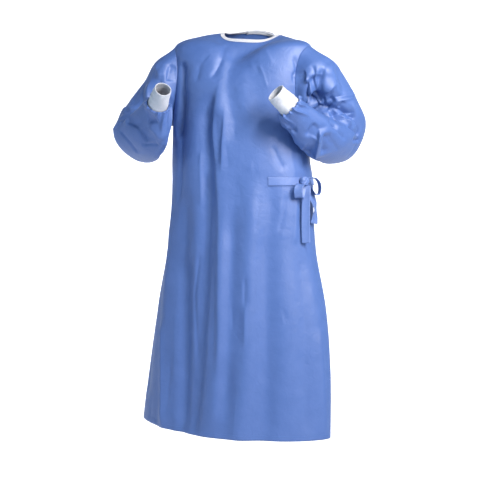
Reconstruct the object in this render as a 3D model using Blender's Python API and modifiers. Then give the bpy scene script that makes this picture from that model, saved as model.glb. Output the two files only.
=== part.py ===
"""Surgical gown, worn and hollow: front, lapped back, set-in sleeves, knitted cuffs, bound neck, tied belt.

Metres, +Z up. The origin is the middle of the neck opening at the height of the shoulder points.
The front faces -Y and +X is the wearer's left. Angles round the body are in degrees: 0 is the
wearer's left, -90 the front, -180 the wearer's right and 90 the back.
"""

import math

import bmesh
import bpy
import numpy as np
from mathutils import Vector

# Driving sizes
WALL = 0.0015
SEAM_GAP = 0.0003
TIE_WALL = 0.0012
TIE_WIDTH = 0.025
TIE_STANDOFF = 0.0009
BINDING_WIDTH = 0.011
BINDING_GAP = 0.0009
BINDING_GAP_INSIDE = 0.0012
CUFF_WALL = 0.0022
CUFF_RIBS = 20
CUFF_RIB_HEIGHT = 0.0007
CUFF_LAP = 0.0035
GATHER_BULGE = 0.0035
GATHERS = 12
GATHER_HEIGHT = 0.0022
BINDING_INNER_WIDTH = 0.0099
BINDING_WALL = 0.0012
SLEEVE_SEAM_GAP = 0.0005

# The belt: its height at the body, the knot, and where each strip starts and ends round the body
BELT_HEIGHT = -0.4500
BELT_FRONT_START = -45.5
BELT_FRONT_END = -16.6
KNOT_ANGLE = -16.0
KNOT_SIZE = (0.024, 0.016, 0.026)
KNOT_OUT = 0.0118
BELT_BACK_START = -15.4
BELT_BACK_END = 62.0
BELT_COLUMN_STEP = 4.5
KNOT_ROUNDING = 0.75

# Strips of the bow: angle round the body, height, distance off the cloth and the turn of the strip
# about its own line, in degrees. 0 lies flat on the body.
BOW_COLUMNS = ("angle", "height", "out", "turn")
LOOP_FRONT = (
    (-17.6, -0.4646, 0.0165, 26.0),
    (-20.6, -0.4740, 0.0250, 30.0),
    (-21.4, -0.4860, 0.0270, 30.0),
    (-21.8, -0.4960, 0.0240, 30.0),
    (-21.8, -0.5010, 0.0190, 30.0),
    (-21.6, -0.4960, 0.0140, 30.0),
    (-21.0, -0.4840, 0.0120, 28.0),
    (-18.0, -0.4650, 0.0100, 24.0),
)
END_FRONT = (
    (-14.7, -0.4660, 0.0130, 34.0),
    (-15.4, -0.4800, 0.0170, 36.0),
    (-15.6, -0.5000, 0.0160, 38.0),
    (-15.8, -0.5300, 0.0145, 34.0),
    (-15.8, -0.5700, 0.0135, 30.0),
    (-15.8, -0.6050, 0.0130, 28.0),
    (-15.8, -0.6320, 0.0135, 30.0),
)
LOOP_BACK = (
    (-13.1, -0.4440, 0.0190, -40.0),
    (-9.4, -0.4440, 0.0260, -42.0),
    (-6.6, -0.4560, 0.0300, -44.0),
    (-5.4, -0.4740, 0.0290, -44.0),
    (-5.8, -0.4890, 0.0250, -44.0),
    (-7.8, -0.4900, 0.0200, -42.0),
    (-9.6, -0.4800, 0.0180, -40.0),
    (-11.8, -0.4650, 0.0180, -38.0),
)
END_BACK = (
    (-11.4, -0.4638, 0.0034, 0.0),
    (-9.6, -0.4800, 0.0055, 0.0),
    (-8.0, -0.4960, 0.0070, -6.0),
    (-6.6, -0.5150, 0.0110, -20.0),
    (-6.2, -0.5350, 0.0130, -26.0),
    (-7.0, -0.5560, 0.0120, -12.0),
    (-8.0, -0.5720, 0.0110, 6.0),
)

# How the lapped back lies: the inner panel is tucked under by this much where the outer one covers it
TUCK = 0.0072
TUCK_FROM = 22.0
TUCK_TO = 48.0
INNER_EDGE = 116.0
OUTER_EDGE = -308.0

# Sections of the body from hem to neck. The height of a section may differ at the sides, front and
# back, and lean says how much the wearer's right side lies higher than the middle.
BODY_COLUMNS = (
    "side_z", "front_z", "back_z", "lean", "centre_x", "centre_y", "half_width",
    "front_depth", "back_depth", "squareness", "turn",
)
BODY_SECTIONS = (
    (-1.220, -1.220, -1.220, 0.000, -0.053, -0.026, 0.330, 0.166, 0.170, 1.60, -10.0),
    (-1.030, -1.030, -1.030, 0.000, -0.039, -0.028, 0.311, 0.162, 0.166, 1.65, -8.0),
    (-0.840, -0.840, -0.840, 0.000, -0.030, -0.032, 0.284, 0.156, 0.162, 1.75, -6.0),
    (-0.660, -0.660, -0.660, 0.000, -0.024, -0.038, 0.244, 0.148, 0.156, 1.90, -4.0),
    (-0.500, -0.500, -0.500, 0.000, -0.018, -0.042, 0.226, 0.141, 0.148, 2.10, -2.0),
    (-0.385, -0.385, -0.385, 0.000, -0.022, -0.044, 0.217, 0.138, 0.143, 2.20, 0.0),
    (-0.285, -0.285, -0.285, 0.000, -0.027, -0.047, 0.207, 0.133, 0.138, 2.30, 0.0),
    (-0.205, -0.215, -0.215, 0.000, -0.020, -0.052, 0.208, 0.124, 0.141, 2.40, 0.0),
    (-0.125, -0.155, -0.140, 0.003, -0.014, -0.060, 0.211, 0.108, 0.147, 2.40, 0.0),
    (-0.042, -0.100, -0.058, 0.006, -0.011, -0.068, 0.212, 0.070, 0.150, 2.30, 0.0),
    (-0.012, -0.060, -0.006, 0.009, -0.006, -0.024, 0.146, 0.072, 0.102, 2.40, 0.0),
    (0.001, -0.030, 0.016, 0.001, 0.000, 0.000, 0.0855, 0.070, 0.068, 2.50, 0.0),
)
HEM, UNDERARM, SHOULDER, NECK = 0, 6, 9, 11

# The side seams run behind the sides in the skirt and come forward to the armholes
SEAM_BEHIND_SKIRT = 24.0
SEAM_BEHIND_ARMHOLE = 2.0
ARMHOLE_FRONT = 21.0
ARMHOLE_BACK = 24.0
SEAM_SWING_START = 2.2
SEAM_SWING_LENGTH = 2.0

# Rows up the body and columns round it
SKIRT_ROWS = 18
ARMHOLE_ROWS = 12
SHOULDER_LEVELS = (9.4, 9.9, 10.45, 11.0)
FRONT_COLUMNS = 26
OUTER_COLUMNS = 14
INNER_COLUMNS = 12
EDGE_STEP = 0.012
ARMHOLE_REACH = 60.0
INNER_CROWDING = 1.3
HEIGHT_STEPS = 200

# Folds of the body: a ridge has a plus height, a trough a minus one. The path is height and angle,
# and each side of the fold has its own width. They die out below the neck, in sections.
NECK_CALM_EDGE = 0.15
NECK_CALM_REACH = 1.5
BODY_FOLD_COLUMNS = ("height", "width_right", "width_left", "fade", "path")
BODY_FOLDS = (
    (-0.012, 0.030, 0.012, 0.10, ((-0.30, -118.0), (-0.50, -117.0), (-0.80, -116.0), (-1.15, -118.0))),
    (0.009, 0.014, 0.045, 0.10, ((-0.24, -106.0), (-0.36, -105.0), (-0.60, -98.0), (-0.95, -92.0))),
    (-0.010, 0.025, 0.030, 0.12, ((-0.62, -84.0), (-0.80, -84.0), (-1.10, -83.0))),
    (-0.010, 0.028, 0.032, 0.12, ((-0.58, -144.0), (-0.88, -139.0), (-1.19, -134.0))),
    (0.008, 0.026, 0.030, 0.12, ((-0.62, -164.0), (-0.90, -161.0), (-1.19, -157.0))),
    (0.008, 0.035, 0.030, 0.12, ((-0.55, -62.0), (-0.90, -64.0), (-1.19, -66.0))),
    (-0.008, 0.030, 0.030, 0.12, ((-0.52, -44.0), (-0.85, -46.0), (-1.19, -48.0))),
    (-0.006, 0.030, 0.040, 0.08, ((-0.07, -100.0), (-0.18, -92.0), (-0.28, -76.0))),
    (-0.010, 0.030, 0.035, 0.12, ((-0.50, 80.0), (-0.85, 82.0), (-1.19, 84.0))),
    (-0.011, 0.030, 0.030, 0.12, ((-0.45, 140.0), (-0.80, 138.0), (-1.19, 136.0))),
    (0.009, 0.030, 0.030, 0.12, ((-0.45, 165.0), (-0.80, 164.0), (-1.19, 163.0))),
    (-0.010, 0.030, 0.030, 0.12, ((-0.45, 20.0), (-0.80, 18.0), (-1.19, 16.0))),
)

# Sections of a sleeve from the armhole to the cuff, each through four points: outside, in the crook of
# the elbow, on the body's side, and on the elbow's side. The armhole itself is the first section.
SLEEVE_COLUMNS = ("outside", "crook", "body_side", "elbow_side")
SLEEVE_RIGHT = (
    ((-0.305, -0.079, -0.116), (-0.226, -0.150, -0.165), (-0.252, -0.050, -0.278), (-0.285, 0.030, -0.180)),
    ((-0.345, -0.108, -0.180), (-0.246, -0.175, -0.210), (-0.258, -0.064, -0.294), (-0.335, -0.002, -0.245)),
    ((-0.383, -0.146, -0.246), (-0.270, -0.190, -0.255), (-0.264, -0.096, -0.335), (-0.370, -0.060, -0.325)),
    ((-0.379, -0.196, -0.290), (-0.274, -0.205, -0.275), (-0.254, -0.154, -0.372), (-0.350, -0.145, -0.385)),
    ((-0.328, -0.241, -0.282), (-0.258, -0.228, -0.262), (-0.216, -0.202, -0.362), (-0.276, -0.215, -0.380)),
    ((-0.268, -0.278, -0.257), (-0.233, -0.255, -0.243), (-0.183, -0.247, -0.326), (-0.212, -0.270, -0.342)),
    ((-0.233, -0.302, -0.231), (-0.214, -0.278, -0.224), (-0.164, -0.279, -0.280), (-0.186, -0.303, -0.288)),
)
SLEEVE_LEFT = (
    ((0.290, -0.067, -0.130), (0.210, -0.142, -0.160), (0.203, -0.048, -0.276), (0.245, 0.044, -0.172)),
    ((0.319, -0.041, -0.188), (0.216, -0.124, -0.205), (0.208, -0.035, -0.291), (0.280, 0.072, -0.232)),
    ((0.338, -0.017, -0.249), (0.224, -0.090, -0.238), (0.208, -0.016, -0.318), (0.298, 0.085, -0.310)),
    ((0.331, -0.026, -0.294), (0.226, -0.080, -0.255), (0.205, -0.012, -0.345), (0.290, 0.060, -0.382)),
    ((0.306, -0.085, -0.306), (0.222, -0.110, -0.262), (0.202, -0.055, -0.350), (0.258, -0.030, -0.393)),
    ((0.270, -0.150, -0.285), (0.210, -0.150, -0.245), (0.176, -0.122, -0.325), (0.218, -0.125, -0.362)),
    ((0.234, -0.199, -0.250), (0.196, -0.185, -0.224), (0.154, -0.178, -0.277), (0.190, -0.195, -0.303)),
)
SLEEVE_ROWS_PER_SECTION = 3

# Counted in sections: the stretch beside the armhole where the creases die out, and where the
# gathers start before the cuff, how fast they rise and how fast they end
ARMHOLE_CALM = 0.8
GATHERS_START = 2.6
GATHERS_RISE = 1.3
GATHERS_END = 0.9

# Cuffs: middle and radius of the sewn end and of the open end
CUFFS = {
    "right": ((-0.187, -0.309, -0.228), 0.0295, (-0.153, -0.352, -0.189), 0.0235),
    "left": ((0.182, -0.214, -0.239), 0.0325, (0.148, -0.247, -0.198), 0.0275),
}
CUFF_ROWS = 4

# Creases of the sleeves: where along (in sections), half their length along, height, and the angle
# round the sleeve with its spread. 90 is the crook of the elbow, 0 the outside and 180 the side at the body.
SLEEVE_CREASE_COLUMNS = ("along", "half_length", "height", "angle", "spread")
CREASES_RIGHT = (
    (1.33, 0.34, -0.010, 70.0, 55.0),
    (2.67, 0.34, -0.012, 95.0, 60.0),
    (3.67, 0.34, -0.012, 90.0, 60.0),
    (4.67, 0.34, -0.010, 70.0, 70.0),
    (3.20, 0.50, 0.008, 270.0, 60.0),
)
CREASES_LEFT = (
    (1.33, 0.34, -0.010, 80.0, 55.0),
    (2.33, 0.34, -0.012, 90.0, 60.0),
    (3.33, 0.34, -0.014, 85.0, 65.0),
    (4.33, 0.34, -0.012, 80.0, 65.0),
    (3.00, 0.50, 0.008, 300.0, 60.0),
)


def smooth_step(x):
    x = np.clip(x, 0.0, 1.0)
    return x * x * (3.0 - 2.0 * x)


def through_rows(rows, at):
    """Smooth curve through the rows of an array, read at positions counted in rows."""
    rows = np.asarray(rows, float)
    at = np.clip(np.asarray(at, float), 0.0, len(rows) - 1.0)
    first = np.minimum(at.astype(int), len(rows) - 2)
    part = (at - first).reshape(at.shape + (1,) * (rows.ndim - 1))
    before = rows[np.maximum(first - 1, 0)]
    start, end = rows[first], rows[first + 1]
    after = rows[np.minimum(first + 2, len(rows) - 1)]
    slope_start, slope_end = (end - before) / 2.0, (after - start) / 2.0
    square, cube = part**2, part**3
    return (
        (2 * cube - 3 * square + 1) * start
        + (cube - 2 * square + part) * slope_start
        + (3 * square - 2 * cube) * end
        + (cube - square) * slope_end
    )


def body_section_point(level, angle):
    """Point of the smooth body at a level (in sections from the hem) and an angle."""
    body = dict(zip(BODY_COLUMNS, np.moveaxis(through_rows(BODY_SECTIONS, level), -1, 0)))
    own = np.radians(angle - body["turn"])
    across, along = np.cos(own), np.sin(own)
    in_front = along < 0.0
    depth = np.where(in_front, body["front_depth"], body["back_depth"])
    power = body["squareness"]
    radius = np.abs(across / body["half_width"]) ** power + np.abs(along / depth) ** power
    radius = radius ** (-1.0 / power)
    middle_z = np.where(in_front, body["front_z"], body["back_z"])
    height = body["side_z"] * across**2 + middle_z * (1.0 - across**2) - body["lean"] * across
    heading = np.radians(angle)
    x = body["centre_x"] + radius * np.cos(heading)
    y = body["centre_y"] + radius * np.sin(heading)
    return np.stack([x, y, height], axis=-1)


def surface_normals(surface, first, second):
    """Unit normals of a surface given by two parameters."""
    step_first, step_second = 1e-3, 1e-2
    along_first = surface(first + step_first, second) - surface(first - step_first, second)
    along_second = surface(first, second + step_second) - surface(first, second - step_second)
    normal = np.cross(along_second, along_first)
    return normal / np.maximum(np.linalg.norm(normal, axis=-1, keepdims=True), 1e-12)


def body_fold_height(point, angle):
    """Height of all folds at a point of the body."""
    total = np.zeros(angle.shape)
    distance_from_axis = np.hypot(point[..., 0], point[..., 1])
    for row in BODY_FOLDS:
        fold = dict(zip(BODY_FOLD_COLUMNS, row))
        heights, angles = np.array(fold["path"]).T
        here = np.interp(-point[..., 2], -heights, angles)
        off = (angle - here + 180.0) % 360.0 - 180.0
        across = np.radians(off) * distance_from_axis
        width = np.where(across < 0.0, fold["width_right"], fold["width_left"])
        ends = smooth_step((heights[0] + fold["fade"] - point[..., 2]) / fold["fade"])
        ends *= smooth_step((point[..., 2] - heights[-1] + fold["fade"]) / fold["fade"])
        total += fold["height"] * ends * np.exp(-((across / width) ** 2))
    return total


def body_point(level, angle, out=0.0):
    """Point of the gown's body with its folds; the inner back panel is the stretch past the tuck."""
    level, angle = np.broadcast_arrays(np.asarray(level, float), np.asarray(angle, float))
    base = body_section_point(level, angle)
    normal = surface_normals(body_section_point, level, angle)
    tuck = TUCK * smooth_step((angle - TUCK_FROM) / (TUCK_TO - TUCK_FROM))
    neck_calm = smooth_step((NECK - NECK_CALM_EDGE - level) / NECK_CALM_REACH)
    lift = body_fold_height(base, angle) * neck_calm - tuck + out
    return base + normal * lift[..., None]


def seam_behind(level):
    """Degrees that the side seams lie behind the sides."""
    forward = smooth_step((level - UNDERARM + SEAM_SWING_START) / SEAM_SWING_LENGTH)
    return SEAM_BEHIND_SKIRT + (SEAM_BEHIND_ARMHOLE - SEAM_BEHIND_SKIRT) * forward


def armhole_bite(level, reach):
    """How far the armhole cuts into a panel at a level, in degrees."""
    middle, half = (UNDERARM + SHOULDER) / 2.0, (SHOULDER - UNDERARM) / 2.0
    return reach * np.sqrt(np.clip(1.0 - ((level - middle) / half) ** 2, 0.0, None))


def body_levels():
    """Levels of the rows, closer together where the armhole turns."""
    skirt = np.linspace(HEM, UNDERARM, SKIRT_ROWS + 1)[:-1]
    turn = np.arange(ARMHOLE_ROWS + 1) * math.pi / ARMHOLE_ROWS
    armhole = (UNDERARM + SHOULDER) / 2.0 - (SHOULDER - UNDERARM) / 2.0 * np.cos(turn)
    return np.concatenate([skirt, armhole, SHOULDER_LEVELS])


def panel_angles(name, levels):
    """Angles of a panel's columns at each level, crowded at the armhole, drawn in by half the seam gap."""
    behind = seam_behind(levels)[:, None]
    front_bite = armhole_bite(levels, ARMHOLE_FRONT)[:, None]
    back_bite = armhole_bite(levels, ARMHOLE_BACK)[:, None]
    start, end, start_bite, end_bite, columns, crowding = {
        "front": (-180.0 - behind, behind, front_bite, front_bite, FRONT_COLUMNS, 1.0),
        "back_inner": (behind, INNER_EDGE, back_bite, 0.0, INNER_COLUMNS, INNER_CROWDING),
        "back_outer": (OUTER_EDGE, -180.0 - behind, 0.0, back_bite, OUTER_COLUMNS, 1.0),
    }[name]
    seam_radius = np.linalg.norm(body_section_point(levels, 0.0)[:, :2], axis=-1)
    inset = np.degrees(SEAM_GAP / 2.0 / seam_radius)[:, None]
    start, end = start + inset, end - inset
    share = np.linspace(EDGE_STEP, 1.0 - EDGE_STEP, columns - 1) ** crowding
    share = np.concatenate([[0.0], share, [1.0]])[None, :]
    angle = start + (end - start) * share
    from_start = np.clip(1.0 - (angle - start) / ARMHOLE_REACH, 0.0, 1.0)
    from_end = np.clip(1.0 - (end - angle) / ARMHOLE_REACH, 0.0, 1.0)
    return angle + start_bite * from_start - end_bite * from_end


def panel_grid(name, levels):
    """Points of a panel, a row for each level."""
    angle = panel_angles(name, levels)
    return body_point(levels[:, None], angle)


def armhole_loop(side):
    """Points of the armhole: shoulder tip, front edge down, underarm, back edge up."""
    turn = np.arange(ARMHOLE_ROWS + 1) * math.pi / ARMHOLE_ROWS
    down = (UNDERARM + SHOULDER) / 2.0 + (SHOULDER - UNDERARM) / 2.0 * np.cos(turn)
    behind = seam_behind(down)
    front = behind - armhole_bite(down, ARMHOLE_FRONT)
    back = (behind + armhole_bite(down, ARMHOLE_BACK))[::-1]
    levels = np.concatenate([down, down[::-1][1:-1]])
    angles = np.concatenate([front, back[1:-1]])
    if side == "right":
        angles = -180.0 - angles
    return body_point(levels, angles)


def loop_normal(loop):
    """Unit normal of a loop of points, pointing away from the middle of the body."""
    middle = loop.mean(axis=0)
    ring = loop - middle
    normal = np.cross(ring, np.roll(ring, -1, axis=0)).sum(axis=0)
    normal /= np.linalg.norm(normal)
    return normal if normal[0] * middle[0] > 0.0 else -normal


def sleeve_sections(side):
    """Loops of a sleeve from the armhole to the cuff, all with the same number of points."""
    sections = SLEEVE_RIGHT if side == "right" else SLEEVE_LEFT
    armhole = armhole_loop(side)
    count = len(armhole)
    turn = 2.0 * math.pi * np.arange(count)[:, None] / count
    loops = [armhole + loop_normal(armhole) * SLEEVE_SEAM_GAP]
    for row in np.array(sections):
        at = dict(zip(SLEEVE_COLUMNS, row))
        middle = row.mean(axis=0)
        across = (at["outside"] - at["body_side"]) / 2.0
        forward = (at["crook"] - at["elbow_side"]) / 2.0
        squash = (at["outside"] - at["crook"] + at["body_side"] - at["elbow_side"]) / 4.0
        loop = middle + across * np.cos(turn) + forward * np.sin(turn)
        loops.append(loop + squash * np.cos(2.0 * turn))
    cuff_base, cuff_radius, cuff_tip, _ = CUFFS[side]
    axis = np.array(cuff_tip) - np.array(cuff_base)
    axis /= np.linalg.norm(axis)
    last = loops[-1] - loops[-1].mean(axis=0)
    toward_crook = last[count // 4] - axis * (last[count // 4] @ axis)
    toward_crook /= np.linalg.norm(toward_crook)
    sideways = np.cross(toward_crook, axis)
    if sideways @ last[0] < 0.0:
        sideways = -sideways
    spoke = toward_crook * np.sin(turn) + sideways * np.cos(turn)
    radius = cuff_radius + CUFF_RIB_HEIGHT + 2.0 * SEAM_GAP + WALL
    loops.append(np.array(cuff_base) - axis * CUFF_LAP + spoke * (radius + GATHER_BULGE))
    loops.append(np.array(cuff_base) + axis * CUFF_LAP + spoke * radius)
    return np.array(loops)


def sleeve_grid(side, rows_per_section=SLEEVE_ROWS_PER_SECTION):
    """Points of a sleeve with its creases and the gathers at the cuff."""
    loops = sleeve_sections(side)
    last = len(loops) - 1
    along = np.append(np.linspace(0.0, last - 1.0, (last - 1) * rows_per_section + 1), last)
    base = through_rows(loops, along)
    around = np.roll(base, -1, axis=1) - np.roll(base, 1, axis=1)
    forward = np.gradient(base, axis=0)
    normal = np.cross(around, forward)
    normal /= np.linalg.norm(normal, axis=-1, keepdims=True)
    outward = base - base.mean(axis=1, keepdims=True)
    normal *= np.sign((normal * outward).sum(axis=-1).mean())
    count = base.shape[1]
    angle = 360.0 * np.arange(count)[None, :] / count
    place = along[:, None]
    lift = np.zeros(base.shape[:2])
    for row in CREASES_RIGHT if side == "right" else CREASES_LEFT:
        crease = dict(zip(SLEEVE_CREASE_COLUMNS, row))
        off = (angle - crease["angle"] + 180.0) % 360.0 - 180.0
        along_off = (place - crease["along"]) / crease["half_length"]
        lift = lift + crease["height"] * np.exp(-(along_off**2) - (off / crease["spread"]) ** 2)
    gathered = smooth_step((place - last + GATHERS_START) / GATHERS_RISE)
    gathered = gathered * smooth_step((last - place) / GATHERS_END)
    lift = lift + GATHER_HEIGHT * gathered * np.cos(np.radians(angle) * GATHERS)
    calm = smooth_step(place / ARMHOLE_CALM)
    return base + normal * (lift * calm)[..., None]


def cuff_grid(side):
    """Closed wall of a knitted cuff: ribbed outside up, plain inside down."""
    base, base_radius, tip, tip_radius = CUFFS[side]
    base, tip = np.array(base), np.array(tip)
    axis = (tip - base) / np.linalg.norm(tip - base)
    first = np.cross(axis, (0.0, 0.0, 1.0))
    first /= np.linalg.norm(first)
    second = np.cross(axis, first)
    turn = np.radians(360.0 * np.arange(2 * CUFF_RIBS) / (2 * CUFF_RIBS))[:, None]
    spoke = first * np.cos(turn) + second * np.sin(turn)
    rib = (np.arange(2 * CUFF_RIBS) % 2)[:, None] * CUFF_RIB_HEIGHT
    rows = []
    for share in np.linspace(0.0, 1.0, CUFF_ROWS + 1):
        radius = base_radius + (tip_radius - base_radius) * share
        rows.append(base + (tip - base) * share + spoke * (radius + rib))
    for share in np.linspace(1.0, 0.0, CUFF_ROWS + 1):
        radius = base_radius + (tip_radius - base_radius) * share - CUFF_WALL
        rows.append(base + (tip - base) * share + spoke * radius)
    return np.array(rows)


def level_of_height(height):
    """Level of the body at a height in the skirt or waist."""
    levels = np.linspace(HEM, UNDERARM, HEIGHT_STEPS)
    heights = through_rows(BODY_SECTIONS, levels)[:, 0]
    return np.interp(height, heights, levels)


def belt_grid(start, end):
    """Strip lying on the body at the belt's height, from one angle to another; it doesn't tuck under."""
    angles = np.linspace(start, end, int(abs(end - start) / BELT_COLUMN_STEP))
    rows = []
    for height in (BELT_HEIGHT - TIE_WIDTH / 2.0, BELT_HEIGHT, BELT_HEIGHT + TIE_WIDTH / 2.0):
        level = level_of_height(height)
        shown = np.minimum(angles, TUCK_FROM)
        over = body_point(level, shown, TIE_STANDOFF)
        past = body_point(level, angles - 360.0, TIE_STANDOFF)
        rows.append(np.where((angles > TUCK_FROM)[:, None], past, over))
    return np.array(rows)


def bow_grid(stations):
    """Strip of tie along its stations, laid out from the body."""
    at = dict(zip(BOW_COLUMNS, np.array(stations).T))
    level = level_of_height(at["height"])
    middle = body_point(level, at["angle"], at["out"])
    normal = middle - body_point(level, at["angle"])
    normal /= np.linalg.norm(normal, axis=-1, keepdims=True)
    line = np.gradient(middle, axis=0)
    line /= np.linalg.norm(line, axis=-1, keepdims=True)
    up = np.array((0.0, 0.0, 1.0))
    round_body = np.cross(up, normal)
    round_body /= np.linalg.norm(round_body, axis=-1, keepdims=True)
    turned = np.radians(at["turn"])[:, None]
    width = round_body * np.cos(turned) + normal * np.sin(turned)
    width -= line * (width * line).sum(axis=-1, keepdims=True)
    width /= np.linalg.norm(width, axis=-1, keepdims=True)
    stops = (-0.5, 0.0, 0.5)
    return np.array([middle + width * TIE_WIDTH * stop for stop in stops])


def binding_grid():
    """Strip folded over the neck edge, from the inner back edge round the front to the outer back edge."""
    levels = body_levels()[-2:]
    edges, downs, outs = [], [], []
    for name in ("back_inner", "front", "back_outer"):
        below, edge = panel_grid(name, levels)[:, ::-1]
        down = below - edge
        down /= np.linalg.norm(down, axis=-1, keepdims=True)
        out = np.cross(down, np.gradient(edge, axis=0))
        out /= np.linalg.norm(out, axis=-1, keepdims=True)
        edges.append(edge)
        downs.append(down)
        outs.append(out)
    edge, down, out = (np.concatenate(parts) for parts in (edges, downs, outs))
    out *= np.sign(((edge - edge.mean(axis=0)) * out).sum(axis=-1).mean())
    section = (
        (BINDING_WIDTH, BINDING_GAP),
        (BINDING_WIDTH / 2.0, BINDING_GAP),
        (-BINDING_GAP, BINDING_GAP),
        (-BINDING_GAP, -WALL - BINDING_GAP_INSIDE),
        (BINDING_WIDTH / 2.0, -WALL - BINDING_GAP_INSIDE),
        (BINDING_INNER_WIDTH, -WALL - BINDING_GAP_INSIDE),
    )
    return np.array([edge + down * depth + out * away for depth, away in section])


def collection_named(name):
    made = bpy.data.collections.new(name)
    bpy.context.scene.collection.children.link(made)
    return made


def cloth_material(name, colour, roughness):
    material = bpy.data.materials.new(name)
    material.use_nodes = True
    shader = material.node_tree.nodes["Principled BSDF"]
    shader.inputs["Base Color"].default_value = (*colour, 1.0)
    shader.inputs["Roughness"].default_value = roughness
    shader.inputs["Metallic"].default_value = 0.0
    return material


def loft(name, grid, material, collection, around=False, along=False, wall=0.0, offset=-1.0):
    """Mesh through a grid of points, a row for each section, closed around or along where asked.

    One layer gets a wall: offset -1 builds it inwards, 1 outwards and 0 to both sides.
    """
    row_count, column_count = grid.shape[:2]
    mesh = bpy.data.meshes.new(name)
    bm = bmesh.new()
    verts = [[bm.verts.new(Vector(point)) for point in row] for row in grid]
    for row in range(row_count if along else row_count - 1):
        here, beyond = verts[row], verts[(row + 1) % row_count]
        for column in range(column_count if around else column_count - 1):
            right = (column + 1) % column_count
            bm.faces.new((here[column], here[right], beyond[right], beyond[column]))
    bm.normal_update()
    bm.to_mesh(mesh)
    bm.free()
    mesh.materials.append(material)
    mesh.shade_smooth()
    made = bpy.data.objects.new(name, mesh)
    collection.objects.link(made)
    if wall > 0.0:
        solid = made.modifiers.new("wall", "SOLIDIFY")
        solid.thickness = wall
        solid.offset = offset
        solid.use_even_offset = False
    return made


def facing_out(grid, hint):
    """The same grid, its columns turned round when its faces would look along minus the hint."""
    along = grid[1:, :-1] - grid[:-1, :-1]
    around = grid[:-1, 1:] - grid[:-1, :-1]
    normal = np.cross(around, along)
    look = (normal * hint[:-1, :-1]).sum()
    return grid if look > 0.0 else grid[:, ::-1]


def make_body(cloth, gown):
    levels = body_levels()
    for name in ("front", "back_outer", "back_inner"):
        grid = panel_grid(name, levels)
        hint = grid * (1.0, 1.0, 0.0)
        loft(name, facing_out(grid, hint), cloth, gown, wall=WALL)


def make_sleeves(cloth, gown):
    for side in ("right", "left"):
        grid = sleeve_grid(side)
        hint = grid - grid.mean(axis=1, keepdims=True)
        loft("sleeve_" + side, facing_out(grid, hint), cloth, gown, around=True, wall=WALL)


def make_cuffs(knit, gown):
    for side in ("right", "left"):
        grid = cuff_grid(side)
        outside = grid[: CUFF_ROWS + 1]
        hint = outside - outside.mean(axis=1, keepdims=True)
        turned = facing_out(outside, hint)
        grid = grid if turned is outside else grid[:, ::-1]
        loft("cuff_" + side, grid, knit, gown, around=True, along=True)


def make_binding(knit, gown):
    grid = binding_grid()
    outer_leg = grid[:3]
    hint = outer_leg - grid.mean(axis=(0, 1))
    turned = facing_out(outer_leg, hint)
    grid = grid if turned is outer_leg else grid[:, ::-1]
    loft("neck_binding", grid, knit, gown, wall=BINDING_WALL, offset=1.0)


def make_ties(cloth, gown):
    for name, start, end in (
        ("tie_front", BELT_FRONT_START, BELT_FRONT_END),
        ("tie_back", BELT_BACK_START, BELT_BACK_END),
    ):
        grid = belt_grid(start, end)
        hint = grid * (1.0, 1.0, 0.0)
        loft(name, facing_out(grid, hint), cloth, gown, wall=TIE_WALL, offset=1.0)
    for name, stations in (
        ("bow_loop_front", LOOP_FRONT),
        ("bow_end_front", END_FRONT),
        ("bow_loop_back", LOOP_BACK),
        ("bow_end_back", END_BACK),
    ):
        loft(name, bow_grid(stations), cloth, gown, wall=TIE_WALL, offset=0.0)
    make_knot(cloth, gown)


def make_knot(cloth, gown):
    """A small rounded knot that stands on the cloth, turned to look outwards."""
    level = level_of_height(BELT_HEIGHT)
    middle = body_point(level, KNOT_ANGLE, KNOT_OUT)
    outward = middle - body_point(level, KNOT_ANGLE)
    mesh = bpy.data.meshes.new("bow_knot")
    bm = bmesh.new()
    bmesh.ops.create_icosphere(bm, subdivisions=2, radius=0.5)
    for vert in bm.verts:
        rounded = [math.copysign(abs(c) ** KNOT_ROUNDING, c) for c in vert.co]
        vert.co = Vector([c * size for c, size in zip(rounded, KNOT_SIZE)])
    bm.to_mesh(mesh)
    bm.free()
    mesh.materials.append(cloth)
    mesh.shade_smooth()
    knot = bpy.data.objects.new("bow_knot", mesh)
    knot.location = Vector(middle)
    knot.rotation_euler = (0.0, 0.0, math.atan2(outward[1], outward[0]) + math.pi / 2.0)
    gown.objects.link(knot)


def build_gown():
    for old in list(bpy.data.objects):
        bpy.data.objects.remove(old)
    gown = collection_named("surgical_gown")
    cloth = cloth_material("blue_nonwoven_cloth", (0.10, 0.21, 0.55), 0.62)
    knit = cloth_material("white_knit", (0.78, 0.80, 0.84), 0.85)
    make_body(cloth, gown)
    make_sleeves(cloth, gown)
    make_cuffs(knit, gown)
    make_binding(knit, gown)
    make_ties(cloth, gown)


build_gown()
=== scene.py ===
"""Looks of the surgical gown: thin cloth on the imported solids, knitted cuffs, bound neck and tied belt.

Metres, +Z up. The origin is the middle of the neck opening, the front faces -Y and +X is the
gown's own left as it is worn. Angles round the body are in degrees: 0 is its left, -90 the front,
-180 its right and 90 the back.
"""

import math

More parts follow.
